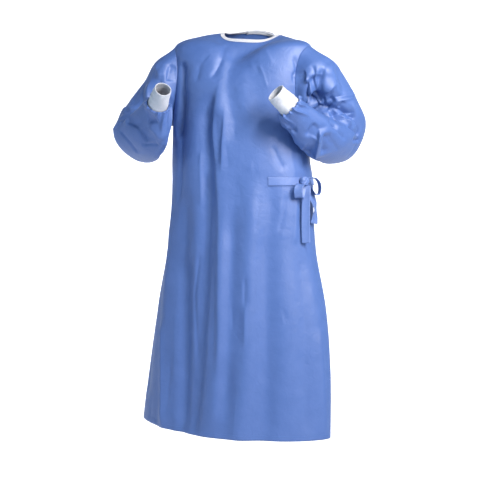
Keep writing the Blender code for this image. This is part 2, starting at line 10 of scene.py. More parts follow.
import bmesh
import bpy
import numpy as np
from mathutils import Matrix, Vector


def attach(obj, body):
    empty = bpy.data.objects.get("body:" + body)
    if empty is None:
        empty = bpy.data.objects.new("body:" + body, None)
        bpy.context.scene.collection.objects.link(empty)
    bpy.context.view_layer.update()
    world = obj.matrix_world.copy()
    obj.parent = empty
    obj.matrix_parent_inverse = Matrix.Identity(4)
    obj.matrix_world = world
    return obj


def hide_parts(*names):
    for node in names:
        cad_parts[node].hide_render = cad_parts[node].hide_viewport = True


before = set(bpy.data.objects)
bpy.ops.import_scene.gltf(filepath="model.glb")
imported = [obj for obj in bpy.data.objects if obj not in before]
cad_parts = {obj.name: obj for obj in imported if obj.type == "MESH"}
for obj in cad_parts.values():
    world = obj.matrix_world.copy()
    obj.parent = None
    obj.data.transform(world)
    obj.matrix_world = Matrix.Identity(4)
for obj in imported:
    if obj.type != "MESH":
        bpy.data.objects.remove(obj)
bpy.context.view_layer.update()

# Cloth sizes
CLOTH = 0.0008
TIE_CLOTH = 0.0010
TIE_WIDTH = 0.025
TIE_OFF_BODY = 0.0012
BINDING_WIDTH = 0.011
BINDING_INNER_WIDTH = 0.010
BINDING_CLOTH = 0.0008
BINDING_OFF = 0.0005
CUFF_WALL = 0.0020
CUFF_RIBS = 60
CUFF_RIB_HEIGHT = 0.00035
CUFF_LAP = 0.0035
GATHER_BULGE = 0.0035
SLEEVE_OFF_CUFF = 0.0006
# Gathers at the cuff: a pair holds a least value and what is added by turns
GATHERS = 15
GATHER_HEIGHT = 0.0072
GATHER_SPREAD = (0.20, 0.10)
GATHER_LENGTH = (1.3, 1.5)
GATHER_SIZE = (0.55, 0.75)
GATHER_RISE = 1.1
GATHER_FALL = 0.35
GATHER_TURN_PLAY = 9.0
GATHER_TURN_STEP = 5.0
GOLDEN_SHARE = 0.618034

# The belt
BELT_HEIGHT = -0.4500
BELT_FRONT_START = -45.5
BELT_FRONT_END = -16.6
KNOT_ANGLE = -16.0
KNOT_SIZE = (0.031, 0.020, 0.030)
KNOT_OUT = 0.0118
KNOT_SQUARENESS = 0.8
KNOT_POLE = 0.02
# Grooves between the wraps of the knot: how they slant, where they lie and how wide they are
KNOT_GROOVES = ((0.8, -0.35, 0.16), (-0.9, 0.3, 0.14))
KNOT_GROOVE_DEPTH = 0.13
KNOT_SWELL = 0.04
KNOT_SWELL_WAVES_UP, KNOT_SWELL_WAVES_ACROSS = 9.0, 3.0
BELT_BACK_START = -15.4
BELT_BACK_END = 62.0

# Strips of the bow: angle round the body, height, distance off the cloth and the turn of the strip
# about its own line, in degrees
BOW_COLUMNS = ("angle", "height", "out", "turn")
LOOP_FRONT = (
    (-18.2, -0.458, 0.0185, 34),
    (-21.8, -0.46, 0.026, 36),
    (-24, -0.47, 0.028, 36),
    (-24.4, -0.484, 0.027, 36),
    (-23.6, -0.496, 0.023, 36),
    (-22, -0.498, 0.017, 34),
    (-20.4, -0.486, 0.014, 30),
    (-18.4, -0.468, 0.012, 26),
)
END_FRONT = (
    (-15.6, -0.464, 0.015, 44),
    (-16.6, -0.478, 0.0185, 46),
    (-17.2, -0.5, 0.018, 46),
    (-17.6, -0.53, 0.0165, 44),
    (-17.8, -0.57, 0.0155, 42),
    (-17.8, -0.605, 0.015, 40),
    (-17.8, -0.632, 0.015, 42),
)
LOOP_BACK = (
    (-13.1, -0.444, 0.019, -40),
    (-9.4, -0.444, 0.026, -42),
    (-6.6, -0.456, 0.03, -44),
    (-5.4, -0.474, 0.029, -44),
    (-5.8, -0.489, 0.025, -44),
    (-7.8, -0.49, 0.02, -42),
    (-9.6, -0.48, 0.018, -40),
    (-11.8, -0.465, 0.018, -38),
)
END_BACK = (
    (-12, -0.462, 0.006, 4),
    (-10.8, -0.48, 0.0085, 8),
    (-9.6, -0.496, 0.011, 10),
    (-8.4, -0.515, 0.014, 4),
    (-7.8, -0.535, 0.015, -14),
    (-8.4, -0.556, 0.014, 6),
    (-9.2, -0.576, 0.012, 24),
)

# How the lapped back lies
TUCK = 0.0072
TUCK_FROM = 22.0
TUCK_TO = 48.0
INNER_EDGE = 116.0
OUTER_EDGE = -308.0

# Sections of the body from hem to neck
BODY_COLUMNS = (
    "side_z", "front_z", "back_z", "lean", "centre_x", "centre_y", "half_width",
    "front_depth", "back_depth", "squareness", "turn",
)
BODY_SECTIONS = (
    (-1.22, -1.22, -1.22, 0, -0.053, -0.026, 0.33, 0.166, 0.17, 1.6, -10),
    (-1.03, -1.03, -1.03, 0, -0.039, -0.028, 0.311, 0.162, 0.166, 1.65, -8),
    (-0.84, -0.84, -0.84, 0, -0.03, -0.032, 0.284, 0.156, 0.162, 1.75, -6),
    (-0.66, -0.66, -0.66, 0, -0.024, -0.038, 0.244, 0.148, 0.156, 1.9, -4),
    (-0.5, -0.5, -0.5, 0, -0.018, -0.042, 0.226, 0.141, 0.148, 2.1, -2),
    (-0.385, -0.385, -0.385, 0, -0.022, -0.044, 0.217, 0.138, 0.143, 2.2, 0),
    (-0.285, -0.285, -0.285, 0, -0.027, -0.047, 0.207, 0.133, 0.138, 2.3, 0),
    (-0.205, -0.215, -0.215, 0, -0.02, -0.052, 0.208, 0.124, 0.141, 2.4, 0),
    (-0.125, -0.155, -0.14, 0.003, -0.014, -0.06, 0.211, 0.108, 0.147, 2.4, 0),
    (-0.042, -0.1, -0.058, 0.006, -0.011, -0.068, 0.212, 0.07, 0.15, 2.3, 0),
    (-0.012, -0.06, -0.006, 0.009, -0.006, -0.024, 0.146, 0.072, 0.102, 2.4, 0),
    (0.003, -0.023, 0.021, 0.006, 0, 0, 0.0855, 0.07, 0.068, 2.5, 0),
)
HEM, UNDERARM, SHOULDER, NECK = 0, 6, 9, 11
# How much flatter the front of the neck edge runs before it rises to the shoulders
NECK_FLATNESS = 4.0
NECK_FLATTER_FROM = 9.6
SEAM_BEHIND_SKIRT = 24.0
SEAM_BEHIND_ARMHOLE = 2.0
ARMHOLE_FRONT = 21.0
ARMHOLE_BACK = 24.0
SEAM_SWING_START = 2.2
SEAM_SWING_LENGTH = 2.0

# Rows up the body and columns round it
SKIRT_ROWS = 120
ARMHOLE_ROWS = 98
SHOULDER_ROWS = 16
FRONT_COLUMNS = 200
BACK_COLUMNS = 96
EDGE_STEP = 0.004
ARMHOLE_REACH = 60.0
HEIGHT_STEPS = 400
BINDING_ROWS = 10
BINDING_LEVELS = 26
BINDING_DEPTH_LEVELS = 1.2
FOLD_STEPS = 7
BELT_COLUMNS_PER_DEGREE = 3

# Main folds of the body: a ridge has a plus height, a trough a minus one. The path is height and
# angle, and each side of the fold has its own width.
NECK_CALM_EDGE = 0.15
NECK_CALM_REACH = 1.5
BODY_FOLD_COLUMNS = ("height", "width_right", "width_left", "fade", "path")
BODY_FOLDS = (
    (-0.013, 0.034, 0.024, 0.1, ((-0.27, -116), (-0.5, -115), (-0.8, -115), (-1.15, -118))),
    (0.009, 0.014, 0.045, 0.1, ((-0.24, -106), (-0.36, -105), (-0.6, -98), (-0.95, -92))),
    (-0.01, 0.025, 0.03, 0.12, ((-0.62, -84), (-0.8, -84), (-1.1, -83))),
    (-0.01, 0.028, 0.032, 0.12, ((-0.58, -144), (-0.88, -139), (-1.19, -134))),
    (0.008, 0.026, 0.03, 0.12, ((-0.62, -164), (-0.9, -161), (-1.19, -157))),
    (0.008, 0.035, 0.03, 0.12, ((-0.55, -62), (-0.9, -64), (-1.19, -66))),
    (-0.008, 0.03, 0.03, 0.12, ((-0.52, -44), (-0.85, -46), (-1.19, -48))),
    (-0.006, 0.03, 0.04, 0.08, ((-0.07, -100), (-0.18, -92), (-0.28, -76))),
    (-0.01, 0.03, 0.035, 0.12, ((-0.5, 80), (-0.85, 82), (-1.19, 84))),
    (-0.011, 0.03, 0.03, 0.12, ((-0.45, 140), (-0.8, 138), (-1.19, 136))),
    (0.009, 0.03, 0.03, 0.12, ((-0.45, 165), (-0.8, 164), (-1.19, 163))),
    (-0.01, 0.03, 0.03, 0.12, ((-0.45, 20), (-0.8, 18), (-1.19, 16))),
)

# Creases: height (a trough is minus), width on each side of the line (the first is the side that
# lies left of a line that runs down, or below one that runs to the right), how far it takes to fade
# at the ends, how soft its bottom is, how far it leans over, and its path.
CREASE_COLUMNS = ("height", "near_width", "far_width", "fade", "softness", "lean", "path")
# On the body a path is level (in sections from the hem) and angle.
BODY_CREASES = (
    (-0.006, 0.01, 0.018, 0.03, 0.25, 0, ((10.3, -127), (8.94, -120), (8.44, -119), (7.9, -121))),
    (-0.003, 0.012, 0.012, 0.02, 0.4, 0, ((8.5, -141), (8.12, -138), (7.7, -135.5))),
    (-0.006, 0.034, 0.04, 0.05, 0.8, 0,
     ((10.5, -97), (9.24, -67.5), (8.36, -60.5), (7.16, -53), (6, -45))),
    (-0.007, 0.03, 0.018, 0.04, 0.5, 0, ((6.8, -105.5), (5.5, -101), (4.6, -105))),
    (0.007, 0.008, 0.034, 0.09, 0.2, 0.2,
     ((7, -94), (6.5, -92.5), (5.92, -91), (5.3, -94), (4.4, -97))),
    (0.0035, 0.007, 0.009, 0.03, 0.25, 0, ((5.3, -124), (4.52, -125), (3.8, -125.5))),
    (-0.009, 0.014, 0.02, 0.04, 0.35, 0, ((7.6, -153), (5.54, -147), (3.8, -154.5))),
    (-0.01, 0.028, 0.034, 0.08, 0.7, 0, ((3.1, -145), (1.5, -138.5), (-0.2, -133))),
    (-0.004, 0.004, 0.012, 0.03, 0.2, 0, ((3, -125), (2.48, -127.5), (2.16, -128.5), (1.2, -122))),
    (0.008, 0.01, 0.014, 0.05, 0.3, 0, ((1.8, -164), (0.8, -159.5), (-0.3, -154))),
    (-0.004, 0.004, 0.012, 0.02, 0.2, 0, ((2.6, -67.5), (2.1, -67))),
    (0.004, 0.008, 0.012, 0.04, 0.3, 0, ((2.2, -67), (1.44, -65.5))),
    (-0.003, 0.004, 0.007, 0.01, 0.2, 0, ((2.06, -36.5), (1.96, -34.5), (1.84, -33))),
    (-0.0045, 0.006, 0.012, 0.02, 0.25, 0, ((8.6, -18), (8.08, -17.5), (7.86, -20.5), (7.5, -19))),
    (0.006, 0.022, 0.012, 0.06, 0.5, 0, ((1.8, -13.5), (0.96, -14), (-0.3, -13))),
    (-0.005, 0.022, 0.022, 0.08, 0.7, 0, ((3.1, -21), (1.74, -22.5), (-0.2, -22.5))),
    (-0.005, 0.026, 0.026, 0.08, 0.7, 0, ((3.5, -51.5), (1.74, -48), (-0.2, -42))),
    (0.005, 0.026, 0.026, 0.08, 0.7, 0, ((3.5, -93.5), (1.72, -95), (-0.2, -92.5))),
    (-0.015, 0.014, 0.022, 0.03, 0.25, 0, ((8.5, -159), (7.04, -150), (5.56, -151.5))),
    (-0.0035, 0.006, 0.012, 0.02, 0.3, 0, ((5.4, -40), (4.65, -31))),
    (-0.004, 0.006, 0.014, 0.03, 0.3, 0, ((4.15, -30), (3.3, -37))),
    (0.004, 0.01, 0.012, 0.03, 0.3, 0, ((4.15, -22), (3.1, -25))),
    (-0.0035, 0.006, 0.01, 0.03, 0.3, 0, ((5.3, -10), (4.6, -13))),
    (-0.006, 0.01, 0.018, 0.04, 0.35, 0, ((6.2, -3), (5.4, 4), (4.6, 2))),
    (-0.006, 0.02, 0.024, 0.06, 0.5, 0, ((4.2, 5), (2.5, 3), (0.3, 1))),
    (-0.005, 0.012, 0.018, 0.04, 0.4, 0, ((5.9, -178), (4.9, -184), (4.1, -183))),
    (-0.007, 0.02, 0.024, 0.06, 0.6, 0, ((4, -178), (2.2, -181), (0.4, -180))),
    (-0.006, 0.01, 0.02, 0.04, 0.35, 0, ((8.2, -222), (7.2, -228), (6.2, -232))),
    (-0.005, 0.014, 0.02, 0.04, 0.45, 0, ((9, -250), (8, -258), (6.9, -262))),
    (-0.006, 0.016, 0.022, 0.05, 0.5, 0, ((5.8, -250), (4.4, -243), (2.4, -236))),
    (0.006, 0.012, 0.026, 0.05, 0.4, 0, ((4.3, -268), (2.8, -270), (0.8, -273))),
    (-0.007, 0.018, 0.022, 0.06, 0.5, 0, ((3.6, -289), (2, -291), (-0.2, -294))),
    (-0.007, 0.022, 0.026, 0.06, 0.6, 0, ((3.4, -216), (1.8, -214), (-0.2, -213))),
    (-0.006, 0.018, 0.02, 0.06, 0.5, 0, ((4.2, 38), (2.6, 37), (0.8, 36))),
    (-0.005, 0.01, 0.016, 0.03, 0.35, 0, ((6.4, 28), (5.6, 36), (4.8, 40))),
)
# How far a crease moves points, in its own widths, how fast it falls off, and how far through the
# cloth it is felt
CREASE_REACH = 4.0
CREASE_FALL = 1.6
SAME_WALL_DEPTH = 0.03
# Where creases fade out: under the neck edge and under the lap
NECK_CREASE_EDGE = 0.2
NECK_CREASE_REACH = 0.6
LAP_CALM_FROM = 44.0
LAP_CALM_REACH = 8.0
LAP_CALM = 0.9
# Small creases scattered over a surface, from a fixed seed: where they lie and how far they run
BODY_SEED = 5
BODY_SCATTER_LOW = (0.1, OUTER_EDGE)
BODY_SCATTER_HIGH = (9.6, INNER_EDGE)
BODY_SCATTER_RUN = (1.7, 6.0)
SLEEVE_SEEDS = {"right": 11, "left": 23}
SLEEVE_SCATTER_LOW = (0.5, 0.0)
SLEEVE_SCATTER_HIGH = (7.2, 360.0)
SLEEVE_SCATTER_RUN = (1.4, 70.0)
SMALL_CREASES_BODY = 200
SMALL_CREASES_SLEEVE = 46
SMALL_CREASE_HEIGHT_BODY = (0.0005, 0.0022)
SMALL_CREASE_HEIGHT_SLEEVE = (0.0010, 0.0040)
SMALL_CREASE_WIDTH = (0.005, 0.013)
SMALL_CREASE_FAR_WIDER = (1.6, 3.6)
SMALL_CREASE_LENGTH = (0.3, 1.0)
SMALL_CREASE_BEND = 0.3
SMALL_CREASE_FADE = 0.022
SMALL_CREASE_SOFTNESS = 0.15
# Creases that run out from the crook of each elbow, from a fixed seed
STAR_CREASES = 18
STAR_MIDDLE = {"right": (2.9, 92.0), "left": (3.0, 84.0)}
STAR_REACH = (3.3, 130.0)
STAR_HEIGHT = (0.0035, 0.0065)
STAR_TROUGH = 1.1
STAR_TURN_PLAY = 0.3
STAR_FAR = (0.6, 1.0)
STAR_NEAR = (0.08, 0.22)
STAR_BEND = 0.16
STAR_WIDTH = (0.006, 0.010)
STAR_FAR_WIDER = (1.4, 3.0)
STAR_FADE = 0.045
STAR_SOFTNESS = 0.12

# Sections of a sleeve from the armhole to the cuff, each through four points
SLEEVE_COLUMNS = ("outside", "crook", "body_side", "elbow_side")
SLEEVE_RIGHT = (
    ((-0.305, -0.079, -0.116), (-0.226, -0.15, -0.165), (-0.252, -0.05, -0.278), (-0.285, 0.03, -0.18)),
    ((-0.345, -0.108, -0.18), (-0.246, -0.175, -0.21), (-0.258, -0.064, -0.294), (-0.335, -0.002, -0.245)),
    ((-0.383, -0.146, -0.246), (-0.27, -0.19, -0.255), (-0.264, -0.096, -0.335), (-0.37, -0.06, -0.325)),
    ((-0.379, -0.196, -0.29), (-0.274, -0.205, -0.275), (-0.254, -0.154, -0.372), (-0.35, -0.145, -0.385)),
    ((-0.328, -0.241, -0.282), (-0.258, -0.228, -0.262), (-0.216, -0.202, -0.362), (-0.276, -0.215, -0.38)),
    ((-0.268, -0.278, -0.257), (-0.233, -0.255, -0.243), (-0.183, -0.247, -0.326), (-0.212, -0.27, -0.342)),
    ((-0.233, -0.302, -0.231), (-0.214, -0.278, -0.224), (-0.164, -0.279, -0.28), (-0.186, -0.303, -0.288)),
)
SLEEVE_LEFT = (
    ((0.29, -0.067, -0.13), (0.21, -0.142, -0.16), (0.203, -0.048, -0.276), (0.245, 0.044, -0.172)),
    ((0.319, -0.041, -0.188), (0.216, -0.124, -0.205), (0.208, -0.035, -0.291), (0.28, 0.072, -0.232)),
    ((0.338, -0.017, -0.249), (0.224, -0.09, -0.238), (0.208, -0.016, -0.318), (0.298, 0.085, -0.31)),
    ((0.331, -0.026, -0.294), (0.226, -0.08, -0.255), (0.205, -0.012, -0.345), (0.29, 0.06, -0.382)),
    ((0.306, -0.085, -0.306), (0.222, -0.11, -0.262), (0.202, -0.055, -0.35), (0.258, -0.03, -0.393)),
    ((0.27, -0.15, -0.285), (0.21, -0.15, -0.245), (0.176, -0.122, -0.325), (0.218, -0.125, -0.362)),
    ((0.234, -0.199, -0.25), (0.196, -0.185, -0.224), (0.154, -0.178, -0.277), (0.19, -0.195, -0.303)),
)
SLEEVE_ROWS_PER_SECTION = 22
SLEEVE_CREASE_DEPTH = {"right": 1.0, "left": 1.35}
PLACED_CREASE_NEAR = 0.9
PLACED_CREASE_FAR = 2.3
ARMHOLE_CALM = 0.8
CREASE_CALM = 0.25
CUFF_CALM_EDGE = 0.3
CUFF_CALM_REACH = 0.8

# Cuffs: middle and radius of the sewn end and of the open end
CUFFS = {
    "right": ((-0.187, -0.309, -0.228), 0.0295, (-0.153, -0.352, -0.189), 0.0235),
    "left": ((0.182, -0.214, -0.239), 0.0325, (0.148, -0.247, -0.198), 0.0275),
}
CUFF_ROWS = 26
CUFF_COLUMNS = 240
CUFF_RIM = 0.012
CUFF_SWAY = 0.0010
CUFF_WRINKLE = 0.0009
CUFF_SLACK_RISE = 0.3

# Large creases and bulges of a sleeve: where along it, half their length along it, height, angle
# and spread
WIDE_CREASE_COLUMNS = ("along", "half_length", "height", "angle", "spread")
WIDE_CREASES_RIGHT = (
    (1.33, 0.34, -0.01, 70, 55),
    (2.67, 0.34, -0.012, 95, 60),
    (3.67, 0.34, -0.012, 90, 60),
    (4.67, 0.34, -0.01, 70, 70),
    (4.3, 0.9, -0.01, 275, 70),
    (2.2, 0.9, 0.008, 185, 40),
    (0.6, 0.45, 0.012, 0, 60),
)
WIDE_CREASES_LEFT = (
    (1.33, 0.34, -0.01, 80, 55),
    (2.33, 0.34, -0.012, 90, 60),
    (3.33, 0.34, -0.014, 85, 65),
    (4.33, 0.34, -0.012, 80, 65),
    (3, 0.5, 0.008, 300, 60),
    (0.6, 0.45, 0.012, 0, 60),
)
# On a sleeve a path is along (in sections from the armhole) and angle: 90 is the crook of the
# elbow, 0 the outside and 180 the side at the body.
CREASES_RIGHT = (
    (-0.009, 0.008, 0.014, 0.02, 0.25, 0.2, ((5.1, 12), (5.83, -30), (5.73, -72))),
    (0.006, 0.014, 0.012, 0.02, 0.4, 0, ((6.43, -46), (6.53, -82), (6.33, -120))),
    (0.005, 0.007, 0.012, 0.012, 0.25, 0, ((0.75, 24), (0.93, 48), (1.05, 66))),
    (-0.008, 0.006, 0.01, 0.012, 0.2, 0, ((0.35, 50), (0.57, 64), (0.75, 82))),
    (-0.0045, 0.004, 0.009, 0.012, 0.2, 0, ((5.47, -64), (5.83, -80), (6.13, -106))),
    (-0.007, 0.006, 0.01, 0.012, 0.2, 0, ((6.6, -46), (6.9, -64), (7.3, -88))),
    (-0.005, 0.014, 0.02, 0.03, 0.5, 0, ((1.5, 14), (2.1, 26), (2.8, 44))),
    (-0.005, 0.006, 0.012, 0.02, 0.3, 0, ((4.57, -2), (4.97, -44), (4.9, -80))),
    (-0.0045, 0.006, 0.012, 0.02, 0.3, 0, ((2.3, 5), (3, -6), (3.6, -30))),
    (-0.006, 0.01, 0.016, 0.03, 0.35, 0, ((1.4, -100), (2.4, -85), (3.2, -60))),
    (-0.006, 0.008, 0.014, 0.03, 0.3, 0, ((2.2, 200), (3.2, 222), (4.2, 250))),
    (-0.005, 0.008, 0.012, 0.02, 0.3, 0, ((4.6, 180), (5.4, 205), (6.2, 230))),
    (-0.005, 0.01, 0.014, 0.02, 0.4, 0, ((0.5, -70), (1.4, -50), (2.2, -20))),
)
CREASES_LEFT = (
    (-0.009, 0.006, 0.012, 0.02, 0.2, 0.2,
     ((3.53, 74), (2.57, 84), (1.87, 98), (0.9, 96), (0.43, 64))),
    (-0.007, 0.006, 0.011, 0.02, 0.2, 0, ((3, 74), (2, 70), (1.23, 72), (0.6, 48))),
    (-0.007, 0.006, 0.012, 0.02, 0.2, 0, ((3.47, 72), (2.47, 64), (1.6, 56), (0.8, 38))),
    (-0.013, 0.006, 0.009, 0.012, 0.2, 0, ((1.9, 79), (2.43, 86), (2.8, 90))),
    (-0.01, 0.006, 0.01, 0.015, 0.2, 0.3, ((3.67, 70), (2.9, 56), (2.5, 40))),
    (-0.005, 0.004, 0.008, 0.008, 0.2, 0, ((2.5, 28), (2.83, 38), (3.1, 45))),
    (-0.007, 0.005, 0.009, 0.015, 0.2, 0.3, ((3.97, 64), (3.57, 40), (2.93, 8))),
    (-0.007, 0.005, 0.009, 0.015, 0.2, 0.3, ((4.17, 58), (3.93, 36), (3.2, 6))),
    (-0.006, 0.005, 0.009, 0.012, 0.2, 0, ((5.65, 26), (5.5, 14), (5.25, 6))),
    (0.011, 0.005, 0.013, 0.02, 0.15, 0.3, ((6.3, -20), (6.07, -54), (5.63, -102))),
    (-0.009, 0.006, 0.01, 0.02, 0.2, 0, ((6, -18), (5.9, -46), (5.62, -76))),
    (-0.006, 0.006, 0.01, 0.015, 0.25, 0, ((6.57, -16), (6.63, -44), (6.57, -72))),
    (-0.005, 0.005, 0.006, 0.008, 0.2, 0, ((7.2, -120), (7.03, -100), (6.9, -82))),
    (-0.008, 0.008, 0.01, 0.01, 0.3, 0, ((6.1, -124), (5.97, -100), (5.87, -90))),
    (-0.008, 0.005, 0.012, 0.012, 0.2, 0.3, ((4.25, 14), (4.1, -4), (3.85, -22))),
    (-0.006, 0.005, 0.007, 0.008, 0.2, 0, ((4.5, -21), (4.2, -26), (3.9, -33))),
    (-0.006, 0.014, 0.02, 0.03, 0.45, 0, ((0.8, 10), (1.6, 12), (2.4, 22))),
    (-0.006, 0.01, 0.016, 0.03, 0.35, 0, ((1.2, -60), (2.2, -50), (3.2, -46))),
    (-0.006, 0.008, 0.014, 0.03, 0.3, 0, ((2, 215), (3, 232), (4.2, 250))),
    (-0.005, 0.008, 0.012, 0.02, 0.3, 0, ((0.7, -90), (1.6, -100), (2.6, -92))),
    (-0.005, 0.008, 0.012, 0.02, 0.3, 0, ((4.8, 190), (5.6, 210), (6.4, 225))),
)


def smooth_step(share):
    """Smooth rise from 0 to 1 while the share goes from 0 to 1."""
    share = np.clip(share, 0.0, 1.0)
    return share * share * (3.0 - 2.0 * share)


def unit(vectors):
    """Vectors made one long."""
    return vectors / np.maximum(np.linalg.norm(vectors, axis=-1, keepdims=True), 1e-12)


def degrees_off(angle, middle):
    """Angle from a middle, between -180 and 180 degrees."""
    return (angle - middle + 180.0) % 360.0 - 180.0


def lengths_down(rows):
    """Distance of each row of a grid from the first one, along the cloth."""
    steps = np.linalg.norm(np.diff(rows, axis=0), axis=-1)
    return np.concatenate([np.zeros((1, rows.shape[1])), np.cumsum(steps, axis=0)])


def through_rows(rows, at):
    """Smooth curve through the rows of an array, read at positions counted in rows."""
    rows = np.asarray(rows, float)
    at = np.clip(np.asarray(at, float), 0.0, len(rows) - 1.0)
    first = np.minimum(at.astype(int), len(rows) - 2)
    part = (at - first).reshape(at.shape + (1,) * (rows.ndim - 1))
    before = rows[np.maximum(first - 1, 0)]
    start, end = rows[first], rows[first + 1]
    after = rows[np.minimum(first + 2, len(rows) - 1)]
    slope_start, slope_end = (end - before) / 2.0, (after - start) / 2.0
    square, cube = part**2, part**3
    return (
        (2 * cube - 3 * square + 1) * start
        + (cube - 2 * square + part) * slope_start
        + (3 * square - 2 * cube) * end
        + (cube - square) * slope_end
    )


def body_section_point(level, angle):
    """Point of the smooth body at a level (in sections from the hem) and an angle."""
    body = dict(zip(BODY_COLUMNS, np.moveaxis(through_rows(BODY_SECTIONS, level), -1, 0)))
    own = np.radians(angle - body["turn"])
    across, along = np.cos(own), np.sin(own)
    in_front = along < 0.0
    depth = np.where(in_front, body["front_depth"], body["back_depth"])
    power = body["squareness"]
    radius = np.abs(across / body["half_width"]) ** power + np.abs(along / depth) ** power
    radius = radius ** (-1.0 / power)
    middle_z = np.where(in_front, body["front_z"], body["back_z"])
    flatter = smooth_step((level - NECK_FLATTER_FROM) / (NECK - NECK_FLATTER_FROM)) * NECK_FLATNESS
    to_side = np.abs(across) ** (2.0 + flatter * in_front)
    height = body["side_z"] * to_side + middle_z * (1.0 - to_side) - body["lean"] * across
    heading = np.radians(angle)
    x = body["centre_x"] + radius * np.cos(heading)
    y = body["centre_y"] + radius * np.sin(heading)
    return np.stack([x, y, height], axis=-1)


def body_normals(level, angle):
    """Outward normals of the smooth body."""
    step_level, step_angle = 1e-3, 1e-2
    up = body_section_point(level + step_level, angle) - body_section_point(level - step_level, angle)
    left = body_section_point(level, angle + step_angle)
    right = body_section_point(level, angle - step_angle)
    return unit(np.cross(left - right, up))


def body_fold_height(point, angle):
    """Height of all main folds at a point of the body."""
    total = np.zeros(angle.shape)
    distance_from_axis = np.hypot(point[..., 0], point[..., 1])
    for row in BODY_FOLDS:
        fold = dict(zip(BODY_FOLD_COLUMNS, row))
        heights, angles = np.array(fold["path"]).T
        here = np.interp(-point[..., 2], -heights, angles)
        across = np.radians(degrees_off(angle, here)) * distance_from_axis
        width = np.where(across < 0.0, fold["width_right"], fold["width_left"])
        ends = smooth_step((heights[0] + fold["fade"] - point[..., 2]) / fold["fade"])
        ends *= smooth_step((point[..., 2] - heights[-1] + fold["fade"]) / fold["fade"])
        total += fold["height"] * ends * np.exp(-((across / width) ** 2))
    return total


def plain_body_point(level, angle, out=0.0):
    """Point of the gown's body with its main folds, as the solids have it."""
    level, angle = np.broadcast_arrays(np.asarray(level, float), np.asarray(angle, float))
    base = body_section_point(level, angle)
    tuck = TUCK * smooth_step((angle - TUCK_FROM) / (TUCK_TO - TUCK_FROM))
    neck_calm = smooth_step((NECK - NECK_CALM_EDGE - level) / NECK_CALM_REACH)
    lift = body_fold_height(base, angle) * neck_calm - tuck + out
    return base + body_normals(level, angle) * lift[..., None]


def crease_moves(points, normals, spine, spine_normals, crease):
    """How far points move for one crease that runs along a spine."""
    near, far = crease["near_width"], crease["far_width"]
    reach = CREASE_REACH * max(near, far)
    moved = np.zeros(points.shape)
    low, high = spine.min(axis=0) - reach, spine.max(axis=0) + reach
    close = np.where(((points > low) & (points < high)).all(axis=1))[0]
    if not len(close):
        return moved
    tangent = unit(np.gradient(spine, axis=0))
    steps = np.linalg.norm(np.diff(spine, axis=0), axis=1)
    length = np.concatenate([[0.0], np.cumsum(steps)])
    offset = points[close][:, None, :] - spine[None, :, :]
    nearest = (offset**2).sum(axis=-1).argmin(axis=1)
    offset = offset[np.arange(len(close)), nearest]
    sideways = unit(np.cross(tangent, spine_normals))[nearest]
    side = (offset * sideways).sum(axis=1)
    depth = (offset * spine_normals[nearest]).sum(axis=1)
    place = length[nearest] + (offset * tangent[nearest]).sum(axis=1)
    width = np.where(side > 0.0, near, far)
    soft = crease["softness"]
    away = np.sqrt((side / width) ** 2 + soft**2) - soft
    ends = smooth_step(place / crease["fade"]) * smooth_step((length[-1] - place) / crease["fade"])
    facing = np.clip((normals[close] * spine_normals[nearest]).sum(axis=1), 0.0, 1.0)
    same_wall = np.exp(-((depth / SAME_WALL_DEPTH) ** 2)) * facing
    lift = crease["height"] * np.exp(-CREASE_FALL * away) * ends * same_wall
    moved[close] = normals[close] * lift[:, None] + sideways * (crease["lean"] * np.abs(lift))[:, None]
    return moved


def spine_rows(path, steps=48):
    """Path of a crease, made smooth: its two coordinates at many places."""
    path = np.array(path, float)
    return through_rows(path, np.linspace(0.0, len(path) - 1.0, steps))


def radiating(count, seed, middle, reach_along, reach_across, heights):
    """Rows of creases that run out from the crook of the elbow, ridge and trough by turns."""
    chance = np.random.default_rng(seed)
    rows = []
    for k in range(count):
        turn = 2.0 * math.pi * (k + chance.uniform(-STAR_TURN_PLAY, STAR_TURN_PLAY)) / count
        far = chance.uniform(*STAR_FAR)
        near = chance.uniform(*STAR_NEAR)
        bend = chance.uniform(-STAR_BEND, STAR_BEND)
        path = tuple(
            (
                middle[0] + reach_along * share * far * math.cos(turn + bend * share),
                middle[1] + reach_across * share * far * math.sin(turn + bend * share),
            )
            for share in (near, 0.4, 0.7, 1.0)
        )
        height = chance.uniform(*heights) * (1.0 if k % 2 else -STAR_TROUGH)
        near_width = chance.uniform(*STAR_WIDTH)
        far_width = near_width * chance.uniform(*STAR_FAR_WIDER)
        rows.append((height, near_width, far_width, STAR_FADE, STAR_SOFTNESS, 0.0, path))
    return rows


def scattered(count, seed, low, high, run_along, run_across, heights):
    """Rows of small creases from a fixed seed, between the low and the high pair of coordinates."""
    chance = np.random.default_rng(seed)
    rows = []
    for _ in range(count):
        along, across = chance.uniform(low, high)
        bend = chance.uniform(-SMALL_CREASE_BEND, SMALL_CREASE_BEND)
        half = chance.uniform(*SMALL_CREASE_LENGTH) * 0.5
        to_end_along = half * run_along * chance.choice([-1.0, 1.0]) * chance.uniform(*SMALL_CREASE_LENGTH)
        to_end_across = half * run_across * chance.uniform(-1.0, 1.0)
        height = chance.uniform(*heights) * chance.choice([-1.0, -1.0, 1.0])
        near_width = chance.uniform(*SMALL_CREASE_WIDTH)
        far_width = near_width * chance.uniform(*SMALL_CREASE_FAR_WIDER)
        path = (
            (along - to_end_along, across - to_end_across),
            (along + bend * to_end_along, across + bend * run_across * half),
            (along + to_end_along, across + to_end_across),
        )
        rows.append((height, near_width, far_width, SMALL_CREASE_FADE, SMALL_CREASE_SOFTNESS, 0.0, path))
    return rows


